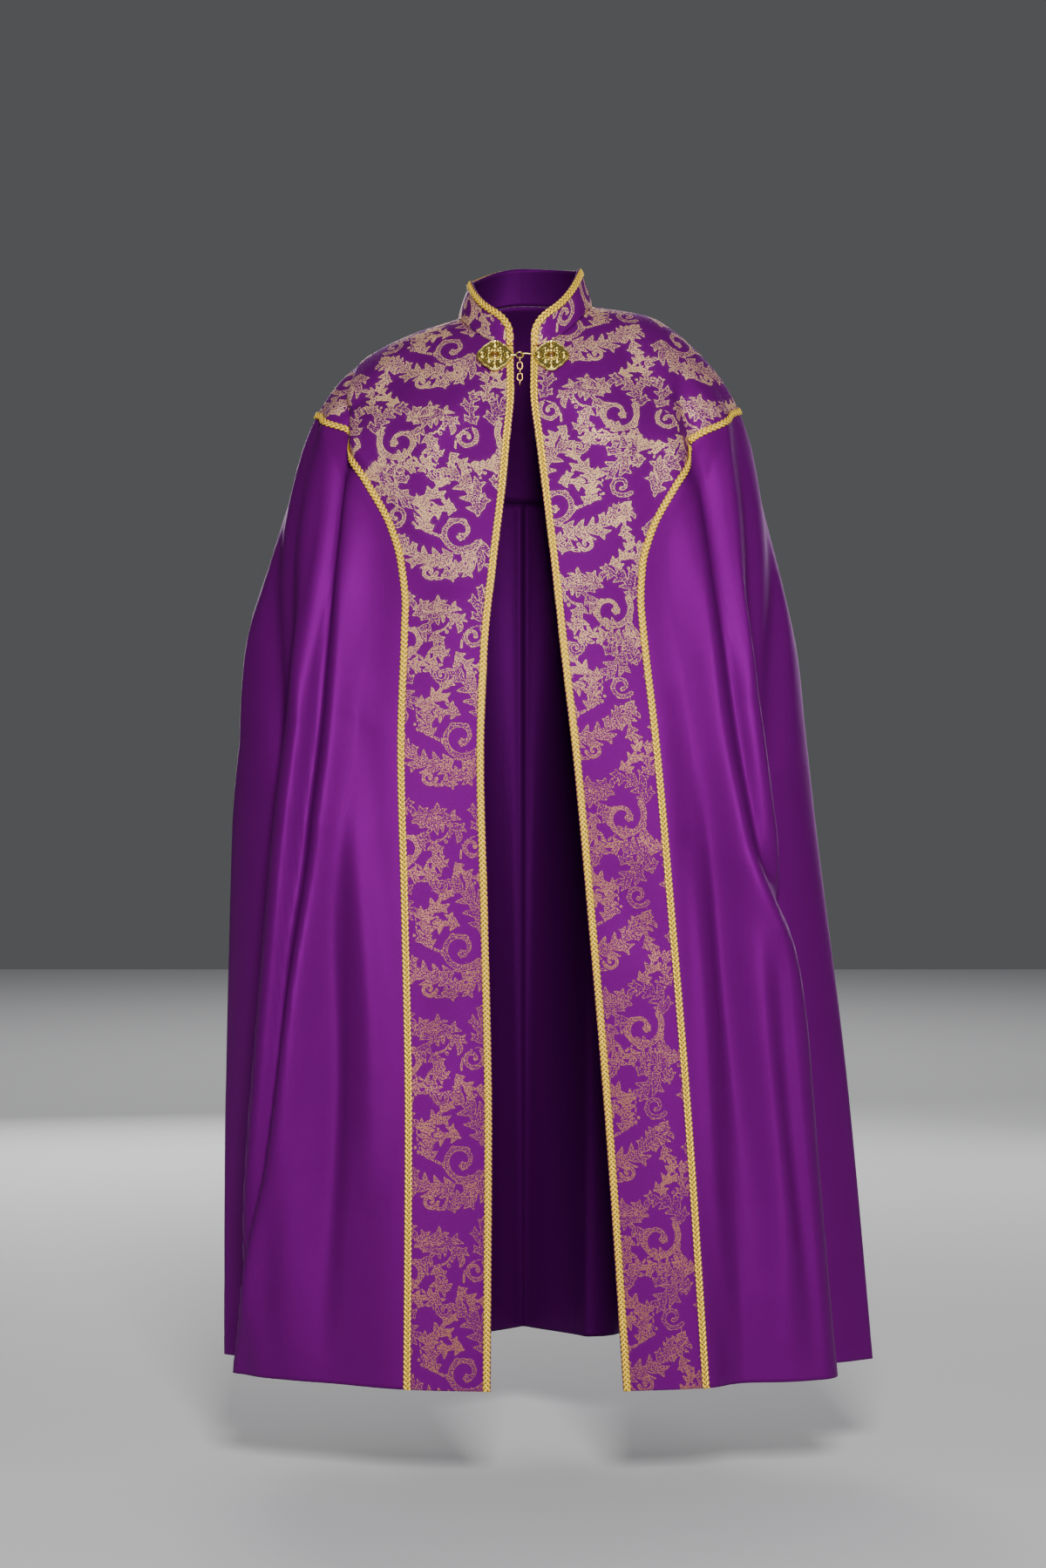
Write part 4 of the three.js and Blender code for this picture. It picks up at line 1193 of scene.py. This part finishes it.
def smooth_line(controls):
    """A rounded line along control points."""
    controls = np.asarray(controls, float)
    t = np.linspace(0, 1, len(controls))
    u = np.linspace(0, 1, LINE_STEPS)
    dense = np.stack([curve(t, controls[:, k] + 1e-9 * t)(u) for k in range(3)], -1)
    for _ in range(LINE_ROUNDS):
        dense[1:-1] = (dense[:-2] + 2 * dense[1:-1] + dense[2:]) / 4
    return dense


def joined_parts(parts):
    """Several pairs of points and faces as one."""
    points, faces, count = [], [], 0
    for p, f in parts:
        points.append(np.asarray(p))
        faces += [tuple(int(i) + count for i in face) for face in f]
        count += len(p)
    return np.concatenate(points), faces


def plate_reach(angle):
    """The plate's outline as a share of its half width: four round corners with flat sides between."""
    return 0.915 + 0.06 * np.cos(4 * angle) + 0.012 * np.cos(8 * angle) - 0.013 * np.cos(12 * angle)


# The cast face. Each ridge has a radius and a half width, and the rim's are shares of the outline.
FIELD_HIGH = 1.3
RIM = (0.92, 0.045)
LEAF_TURNS = (45, 135, 225, 315)
LEAF_PLACE = 10.6
LEAF_RING = (3.6, 0.75)
LEAF_MIDDLE = (0, 1.5)
BEADS = (8.4, 0.7)
WELL_RADIUS = 7.4
STONE_RING = (5.7, 0.95)
STONE_RADIUS = 3.9
BOSS_PLACES = ((16.2, 0), (-16.2, 0), (0, 16.6), (0, -16.6))
BOSS_RADIUS = 5.0
BOSS_RING = (3.7, 0.65)
BOSS_DOME_RADIUS = 2.3


def ridge(distance, radius, wide):
    """A round ridge, 1 high, at a radius."""
    return np.exp(-((distance - radius) / wide) ** 2)


def dome(distance, radius):
    """A half round, 1 high, and where it stands."""
    cap = radius ** 2 - distance ** 2
    return np.sqrt(np.clip(cap, 0, None)) / radius, cap > 0


def relief(x, y):
    """Height of the cast face above the plate's back, and where its dark stone is."""
    r = np.hypot(x, y)
    angle = np.arctan2(y, x)
    edge = np.hypot(np.cos(angle) * PLATE_WIDE / 2, np.sin(angle) * PLATE_HIGH / 2) * plate_reach(angle)
    share = r / edge
    # A roped rim with a rounded edge
    high = FIELD_HIGH + ridge(share, *RIM) * (1.1 + 0.3 * np.cos(44 * angle))
    high -= 0.9 * np.clip((share - 0.96) / 0.04, 0, 1)
    # Four leaves between the bosses, each a ring with a raised middle
    for turn in np.radians(LEAF_TURNS):
        from_leaf = np.hypot(x - LEAF_PLACE * math.cos(turn), y - LEAF_PLACE * math.sin(turn))
        leaf = ridge(from_leaf, *LEAF_RING) * 1.2 + ridge(from_leaf, *LEAF_MIDDLE) * 1.3
        high += leaf * np.clip((0.9 - share) / 0.04, 0, 1)
    # A beaded ring, the ring that holds the stone, the stone, and the four bosses
    high += 0.8 * ridge(r, *BEADS) * (0.6 + 0.4 * np.cos(16 * angle))
    high = np.where(r < WELL_RADIUS, 1.1 + ridge(r, *STONE_RING) * 2.6, high)
    cap, stone = dome(r, STONE_RADIUS)
    high = np.where(stone, 1.9 + 1.9 * cap, high)
    for boss_x, boss_y in BOSS_PLACES:
        from_boss = np.hypot(x - boss_x, y - boss_y)
        high = np.where(from_boss < BOSS_RADIUS, 1.2 + ridge(from_boss, *BOSS_RING) * 1.9, high)
        cap, on_boss = dome(from_boss, BOSS_DOME_RADIUS)
        high = np.where(on_boss, 1.6 + 1.7 * cap, high)
    return high, stone


PLATE_RINGS = 62
PLATE_SPOKES = 192
PLATE_TIP = 0.97
STEM_STEPS = 12
HOOK_ASIDE = 0.6


def plate(centre_x):
    """Points and faces of one plate in the clasp's own frame, and its stone mask."""
    share = np.linspace(0, 1, PLATE_RINGS + 1)[1:]
    angle = np.linspace(0, 2 * math.pi, PLATE_SPOKES, endpoint=False)
    reach = plate_reach(angle)
    x = np.outer(share, PLATE_WIDE / 2 * reach * np.cos(angle))
    y = np.outer(share, PLATE_HIGH / 2 * reach * np.sin(angle))
    high, stone = relief(x, y)
    top = np.stack([x + centre_x, y, high], -1).reshape(-1, 3)
    back = np.stack([x[-1] + centre_x, y[-1], np.zeros(PLATE_SPOKES)], -1)
    middle_high, _ = relief(np.zeros(1), np.zeros(1))
    points = np.concatenate([top, back, [[centre_x, 0, middle_high[0]]], [[centre_x, 0, 0]]])
    n = PLATE_SPOKES
    centre, under = len(points) - 2, len(points) - 1
    edge, base = (PLATE_RINGS - 1) * n, PLATE_RINGS * n
    faces = []
    for j in range(n):
        j2 = (j + 1) % n
        faces.append((centre, j, j2))
        for i in range(PLATE_RINGS - 1):
            faces.append((i * n + j, (i + 1) * n + j, (i + 1) * n + j2, i * n + j2))
        faces.append((edge + j, base + j, base + j2, edge + j2))
        faces.append((under, base + j2, base + j))
    mask = np.concatenate([stone.ravel().astype(float), np.zeros(n), [1, 0]])
    return points, faces, mask


def eye_parts(wire_z):
    """The ring on the right plate and the stem that it stands on."""
    tip = -PLATE_X + PLATE_WIDE / 2 * PLATE_TIP
    turn = np.linspace(0, 2 * math.pi, WIRE_STEPS, endpoint=False)
    ring = np.stack([EYE_X + EYE_RADIUS * np.cos(turn), EYE_RADIUS * np.sin(turn),
                     np.full(WIRE_STEPS, wire_z)], -1)
    along = np.linspace(tip - 3, EYE_X - EYE_RADIUS + 0.2, STEM_STEPS)
    stem_line = np.stack([along, np.zeros(STEM_STEPS), np.full(STEM_STEPS, wire_z)], -1)
    return [tube(ring, WIRE_RADIUS, True), tube(stem_line, np.linspace(2.0, 1.1, STEM_STEPS))]


def hook_parts(wire_z):
    """The hook on the left plate, which goes over the ring's far side and through it."""
    tip = PLATE_X - PLATE_WIDE / 2 * PLATE_TIP
    hold = EYE_X + EYE_RADIUS - 2 * WIRE_RADIUS - 0.35
    rise = 2 * WIRE_RADIUS + 0.5
    line = ((tip + 2.5, 0.2), (tip - 1, rise * 0.7), (hold + 3, rise + 0.4), (hold + 0.3, rise - 0.4),
            (hold - 0.3, 0), (hold + 0.3, 0.4 - rise), (hold + 3, -rise))
    return [tube(smooth_line([(x, HOOK_ASIDE, wire_z + z) for x, z in line]), WIRE_RADIUS)]


def clasp_plates():
    """Both cast plates, each with its half of the fastening."""
    made = []
    for name, centre_x, fastening in (("clasp_plate_right", -PLATE_X, eye_parts),
                                      ("clasp_plate_left", PLATE_X, hook_parts)):
        p, f, mask = plate(centre_x)
        points, faces = joined_parts([(p, f), *fastening(PLATE_THICK / 2)])
        obj = new_object(name + "_cast", on_clasp(points), faces)
        stone = np.zeros(len(points))
        stone[: len(mask)] = mask
        add_attribute(obj, "stone", stone)
        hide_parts(name)
        made.append(obj)
    return made


def chain():
    """The links, each an oval ring at a right angle to the one above."""
    made = []
    eye = on_clasp([EYE_X, -EYE_RADIUS, PLATE_THICK / 2])
    bow = LINK_LONG / 2 - LINK_WIRE
    pitch = 2 * bow - 2 * LINK_WIRE - SEAM_GAP
    straight = (LINK_LONG - LINK_WIDE) / 2
    turn = LINK_WIDE / 2 - LINK_WIRE
    first = WIRE_RADIUS + LINK_WIRE + SEAM_GAP - bow
    angle = np.linspace(0, 2 * math.pi, WIRE_STEPS, endpoint=False)
    across = turn * np.cos(angle)
    up = turn * np.sin(angle) + straight * np.tanh(6 * np.sin(angle))
    flat = np.zeros(WIRE_STEPS)
    for k in range(LINK_COUNT):
        path = np.stack([flat, across, up] if k % 2 == 0 else [across, flat, up], -1)
        points, faces = tube(path + eye + np.array([0, 0, first - k * pitch]), LINK_WIRE, True)
        node = f"chain_link_{k + 1}"
        obj = new_object(node + "_wire", points, faces, node)
        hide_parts(node)
        made.append(obj)
    return made


class Shader:
    """A material built from nodes, with short helpers."""

    def __init__(self, name):
        self.material = bpy.data.materials.new(name)
        self.material.use_nodes = True
        self.tree = self.material.node_tree
        self.tree.nodes.clear()
        self.output = self.node("ShaderNodeOutputMaterial")
        self.surface = self.node("ShaderNodeBsdfPrincipled")
        self.link(self.surface.outputs["BSDF"], self.output.inputs["Surface"])

    def node(self, kind, **settings):
        made = self.tree.nodes.new(kind)
        for key, value in settings.items():
            setattr(made, key, value)
        return made

    def link(self, source, target):
        self.tree.links.new(source, target)

    def put(self, source, target):
        """Gives an input a number, a colour or another node's output."""
        if isinstance(source, (int, float, tuple)):
            target.default_value = source
        else:
            self.link(source, target)

    def finish(self, inputs):
        """Sets the surface's inputs by name."""
        for name, source in inputs.items():
            self.put(source, self.surface.inputs[name])
        return self.material

    def math(self, operation, a, b=0.0, c=0.0):
        made = self.node("ShaderNodeMath", operation=operation)
        for k, value in enumerate((a, b, c)):
            self.put(value, made.inputs[k])
        return made.outputs[0]

    def attribute(self, name, vector=False):
        made = self.node("ShaderNodeAttribute", attribute_name=name)
        return made.outputs["Vector" if vector else "Fac"]

    def ramp(self, value, low, high, to_low=0.0, to_high=1.0):
        made = self.node("ShaderNodeMapRange", interpolation_type="SMOOTHSTEP")
        for name, source in (("Value", value), ("From Min", low), ("From Max", high),
                             ("To Min", to_low), ("To Max", to_high)):
            self.put(source, made.inputs[name])
        return made.outputs["Result"]

    def mix(self, factor, a, b):
        made = self.node("ShaderNodeMix", data_type="RGBA")
        self.put(factor, made.inputs[0])
        self.put(a, made.inputs[6])
        self.put(b, made.inputs[7])
        return made.outputs[2]

    def noise(self, vector, scale, detail=2.0, rough=0.5):
        made = self.node("ShaderNodeTexNoise")
        for name, source in (("Vector", vector), ("Scale", scale), ("Detail", detail), ("Roughness", rough)):
            self.put(source, made.inputs[name])
        return made.outputs["Fac"]

    def bump(self, high, distance, strength):
        made = self.node("ShaderNodeBump")
        for name, source in (("Height", high), ("Distance", distance), ("Strength", strength)):
            self.put(source, made.inputs[name])
        self.link(made.outputs["Normal"], self.surface.inputs["Normal"])

    def twill(self, place, period, slant):
        """Ribs across the flat place: 1 on a rib and 0 between."""
        split = self.node("ShaderNodeSeparateXYZ")
        self.put(place, split.inputs[0])
        along = self.math("MULTIPLY_ADD", split.outputs[0], slant, split.outputs[1])
        wave = self.math("SINE", self.math("MULTIPLY", along, 2 * math.pi / period))
        return self.math("MULTIPLY_ADD", wave, 0.5, 0.5)


PURPLE = (0.104, 0.0, 0.12, 1)
PURPLE_LIGHT = (0.152, 0.0, 0.176, 1)
PURPLE_INSIDE = (0.05, 0.0, 0.066, 1)
THREAD = (0.82, 0.43, 0.20, 1)
THREAD_PALE = (1.0, 0.74, 0.36, 1)
THREAD_PAINTED_SHADE = (0.34, 0.125, 0.085, 1)
# A painted glint and painted shade: the thread is painted bright on the chest, which faces up to the light,
# and painted darker where the bands hang straight. It changes between these two heights, in metres.
GLINT_FROM = -0.58
GLINT_TO = -0.18
PURPLE_SHINE = (0.75, 0.02, 0.85, 1)
THREAD_SHINE = (1.0, 0.85, 0.6, 1)
SATIN_SHEEN = (0.7, 0.02, 0.8, 1)
BROCADE_SHEEN = (0.7, 0.05, 0.8, 1)
BRAID_GOLD = (1.0, 0.68, 0.07, 1)
BRAID_PAINTED_SHADE = (0.36, 0.16, 0.012, 1)
CAST_GOLD = (1.0, 0.80, 0.22, 1)
CAST_PAINTED_SHADE = (0.20, 0.11, 0.012, 1)
CHAIN_GOLD = (0.80, 0.45, 0.10, 1)
AMBER = (0.16, 0.07, 0.015, 1)


def satin():
    """Plain purple twill with a satin sheen."""
    m = Shader("purple_satin")
    place = m.attribute("flat_place", True)
    mottle = m.noise(place, 0.02, 3)
    fine = m.noise(place, 0.9, 2)
    cloth = m.mix(m.math("MULTIPLY_ADD", mottle, 0.35, m.math("MULTIPLY", fine, 0.25)), PURPLE,
                  PURPLE_LIGHT)
    m.bump(m.math("MULTIPLY_ADD", fine, 0.9, m.twill(place, 1.1, 1.6)), 0.00012, 0.55)
    return m.finish({
        "Base Color": m.mix(m.attribute("outer"), PURPLE_INSIDE, cloth),
        "Metallic": 0.3,
        "Roughness": 0.43,
        "Specular IOR Level": 0.15,
        "Specular Tint": PURPLE_SHINE,
        "Sheen Weight": 0.02,
        "Sheen Roughness": 0.4,
        "Sheen Tint": SATIN_SHEEN,
    })


def brocade():
    """Purple satin ground with woven leaves: a solid thread edge round a speckled middle."""
    m = Shader("brocade")
    place = m.attribute("flat_place", True)
    outer = m.attribute("outer")
    edge = m.attribute("leaf_edge")
    shade = m.attribute("shade")
    grain = m.noise(place, 0.62, 1, 0.6)
    wander = m.math("MULTIPLY_ADD", m.noise(place, 0.4, 1), 1.5, -0.75)
    line = m.math("ADD", edge, wander)
    leaf = m.ramp(line, -0.25, 0.15)
    inside = m.ramp(line, 0.35, 0.9)
    patch = m.noise(place, 0.028, 2)
    dense = m.math("MULTIPLY_ADD", shade, 0.13, m.math("MULTIPLY", patch, 0.22))
    speckle = m.ramp(m.math("ADD", grain, dense), 0.66, 0.73)
    open_part = m.math("MULTIPLY", inside, m.math("SUBTRACT", 1.0, speckle))
    strength = m.math("MULTIPLY", leaf, m.math("SUBTRACT", 1.0, open_part))
    broken = m.ramp(grain, 0.33, 0.43, 0.25, 1.0)
    thread = m.math("MULTIPLY", strength, broken)
    stray = m.math("MULTIPLY", m.ramp(m.noise(place, 1.1, 1), 0.66, 0.7), 0.35)
    thread = m.math("MAXIMUM", thread, m.math("MULTIPLY", stray, m.ramp(edge, -5.0, -1.0)))
    thread = m.math("MULTIPLY", thread, outer)
    ground = m.mix(m.math("MULTIPLY", m.noise(place, 2.4, 1), 0.5), PURPLE, PURPLE_LIGHT)
    gold = m.mix(m.ramp(m.noise(place, 0.9, 1), 0.4, 0.65), THREAD, THREAD_PALE)
    # Painted glint: by height, the thread colour goes from painted shade below the chest to its full bright
    # colour on the chest.
    level = m.node("ShaderNodeSeparateXYZ")
    m.link(m.node("ShaderNodeTexCoord").outputs["Object"], level.inputs[0])
    gold = m.mix(m.ramp(level.outputs["Z"], GLINT_FROM, GLINT_TO), THREAD_PAINTED_SHADE, gold)
    weave = m.math("MULTIPLY_ADD", m.twill(place, 0.9, -1.4), 0.5, m.math("MULTIPLY", grain, 0.9))
    m.bump(m.math("MULTIPLY_ADD", thread, 1.3, weave), 0.00016, 0.8)
    return m.finish({
        "Base Color": m.mix(outer, PURPLE_INSIDE, m.mix(thread, ground, gold)),
        "Metallic": m.math("MULTIPLY_ADD", thread, 0.15, 0.22),
        "Roughness": m.math("MULTIPLY_ADD", thread, -0.12, 0.48),
        "Specular IOR Level": 0.3,
        "Specular Tint": m.mix(thread, PURPLE_SHINE, THREAD_SHINE),
        "Sheen Weight": 0.03,
        "Sheen Roughness": 0.4,
        "Sheen Tint": BROCADE_SHEEN,
    })


def metal_thread():
    """Gold looped braid with painted light: lighter on the strands' tops where they pass over, painted shade
    on their sides, where they pass under and on the backing strip.
    """
    m = Shader("gold_braid")
    place = m.node("ShaderNodeTexCoord").outputs["Object"]
    fine = m.noise(place, 900, 2)
    painted_strand_light = m.ramp(m.math("MULTIPLY_ADD", fine, 0.25, m.attribute("painted_strand_light")), 0.22, 0.75)
    m.bump(fine, 0.0003, 0.6)
    return m.finish({
        "Base Color": m.mix(painted_strand_light, BRAID_PAINTED_SHADE, BRAID_GOLD),
        "Metallic": 0.3,
        "Roughness": 0.36,
        "Specular Tint": (1.0, 0.8, 0.35, 1),
    })


def cast_metal():
    """Cast gold with painted shade in its hollows, and dark amber stones."""
    m = Shader("cast_gold")
    place = m.node("ShaderNodeTexCoord").outputs["Object"]
    stone = m.ramp(m.attribute("stone"), 0.4, 0.6)
    # Painted shade: the gold is painted darker where the surface curves inward.
    hollow = m.ramp(m.node("ShaderNodeNewGeometry").outputs["Pointiness"], 0.44, 0.53)
    m.bump(m.noise(place, 700, 3), 0.0002, 0.5)
    return m.finish({
        "Base Color": m.mix(stone, m.mix(hollow, CAST_PAINTED_SHADE, CAST_GOLD), AMBER),
        "Metallic": m.math("MULTIPLY_ADD", stone, -0.95, 0.95),
        "Roughness": m.math("MULTIPLY_ADD", stone, -0.12, 0.25),
    })


def chain_metal():
    """Plain gold wire."""
    return Shader("chain_gold").finish({"Base Color": CHAIN_GOLD, "Metallic": 1, "Roughness": 0.3})


SATIN, BROCADE, BRAID_METAL, CAST, CHAIN = satin(), brocade(), metal_thread(), cast_metal(), chain_metal()

# Cloth pieces
bands = {side.name: yoke_band(side) for side in SIDES}
back_yoke = yoke_back()
bodies = {side.name: body(side) for side in SIDES}
collar_cloth = collar()
for obj in [*bands.values(), back_yoke, collar_cloth]:
    obj.data.materials.append(BROCADE)
for obj in bodies.values():
    obj.data.materials.append(SATIN)

# Braids: both front edges, the seams of bands and yoke, and the collar. An edge braid starts a little
# below the neckline, and a seam braid stops a little below the yoke's edge.
NECK_GAP = 0.0012
YOKE_GAP = 0.004
ARM_OVERLAP = 2
SEAM_PLACES = 900
ARM_PLACES = 200
BACK_PLACES = 260
COLLAR_END_PLACES = (14, 24)
COLLAR_PLACES = 200
COLLAR_FOOT = 0.5


def braid_on(name, side, s, v, node=None):
    """A braid along a line of places on one side's cloth."""
    return braid(name, side.point(s, v), side.normal(s, v), node)


def side_braids(side):
    """The braids of one side: front edge, band and yoke seam, and yoke edge from arm to back."""
    edge_v = np.linspace(NECK_GAP, 1, SEAM_PLACES)
    seam_v = np.linspace(1, YOKE_EDGE + YOKE_GAP, SEAM_PLACES)
    front_s = np.linspace(side.seam(YOKE_EDGE) - ARM_OVERLAP, side.side_at(YOKE_EDGE), ARM_PLACES)
    part = np.linspace(0, 1, BACK_PLACES)[1:]
    back_v = level_of(np.full_like(part, YOKE_EDGE), part)
    arm_s = np.concatenate([front_s, zone_place(side, "back", part, back_v)])
    arm_v = np.concatenate([np.full_like(front_s, YOKE_EDGE), back_v])
    edge, yoke = "braid_edge_" + side.name, "braid_yoke_" + side.name
    return [braid_on(edge, side, np.full_like(edge_v, HALF_BRAID), edge_v, edge),
            braid_on(yoke, side, side.seam(seam_v), seam_v, yoke),
            braid_on("braid_arm_" + side.name, side, arm_s, arm_v)]


def collar_braid_path():
    """Up one front end of the collar, round its corner, along the top and down the other end."""
    points, normals = [], []
    for side in SIDES:
        radius = COLLAR_ROUND - HALF_BRAID
        up = np.linspace(COLLAR_FOOT, collar_high(0.0) - COLLAR_ROUND, COLLAR_END_PLACES[0])
        arc = np.linspace(0, math.pi / 2, COLLAR_END_PLACES[1])[1:]
        arc_s = COLLAR_ROUND - radius * np.cos(arc)
        arc_high = collar_high(arc_s) - COLLAR_ROUND + radius * np.sin(arc)
        far = np.linspace(COLLAR_ROUND, side.long[0] - BACK_MARGIN, COLLAR_PLACES)[1:]
        s = np.concatenate([np.full_like(up, HALF_BRAID), arc_s, far])
        high = np.concatenate([up, arc_high, collar_high(far) - HALF_BRAID])
        p, n = collar_frame(side, s, high)
        points.append(p if side is RIGHT else p[::-1])
        normals.append(n if side is RIGHT else n[::-1])
    return np.concatenate(points), np.concatenate(normals)


braids = [made for side in SIDES for made in side_braids(side)]
braids.append(braid("braid_collar", *collar_braid_path(), "braid_collar"))
for obj in braids:
    obj.data.materials.append(BRAID_METAL)

for obj in clasp_plates():
    obj.data.materials.append(CAST)
for obj in chain():
    obj.data.materials.append(CHAIN)

# Floor and light
FLOOR_LEVEL = -1.456
FLOOR_CORNERS = ((-12, -9), (12, -9), (12, 12), (-12, 12))
floor_mesh = bpy.data.meshes.new("floor")
floor_mesh.from_pydata([(x, y, FLOOR_LEVEL) for x, y in FLOOR_CORNERS], [], [(0, 1, 2, 3)])
floor = in_scene("floor", floor_mesh)
floor_mesh.materials.append(Shader("pale_floor").finish({"Base Color": (0.62, 0.62, 0.63, 1),
                                                         "Roughness": 0.8}))

world = bpy.data.worlds.new("studio")
bpy.context.scene.world = world
world.use_nodes = True
backdrop = world.node_tree.nodes["Background"]
backdrop.inputs["Color"].default_value = (0.80, 0.82, 0.86, 1)
backdrop.inputs["Strength"].default_value = 0.11

# Each light is at x, y, z, has a size and a power, and is aimed at x 0, the y of the last column and
# the level AIM_LEVEL.
AIM_LEVEL = -0.5
LIGHTS = {
    "key": (0.2, -3.8, 0.8, 0.7, 195, 0),
    "side": (2.6, -1.6, 0.7, 1.0, 8, 0),
    "back": (-1.0, 4.4, 0.4, 1.8, 80, 0),
    "back fill": (2.4, 3.6, 0.0, 1.8, 30, 0),
    "far floor": (0, 6.5, 3.0, 5.0, 170, 6.5),
}
for name, (x, y, z, size, watts, aim_y) in LIGHTS.items():
    lamp = bpy.data.lights.new(name.replace(" ", "_"), "AREA")
    lamp.size = size
    lamp.energy = watts
    obj = in_scene(name.replace(" ", "_"), lamp)
    obj.location = (x, y, z)
    aim = np.array([0, aim_y, AIM_LEVEL]) - np.array([x, y, z])
    obj.rotation_euler = (math.atan2(math.hypot(aim[0], aim[1]), -aim[2]), 0,
                          math.atan2(aim[0], -aim[1]) + math.pi)
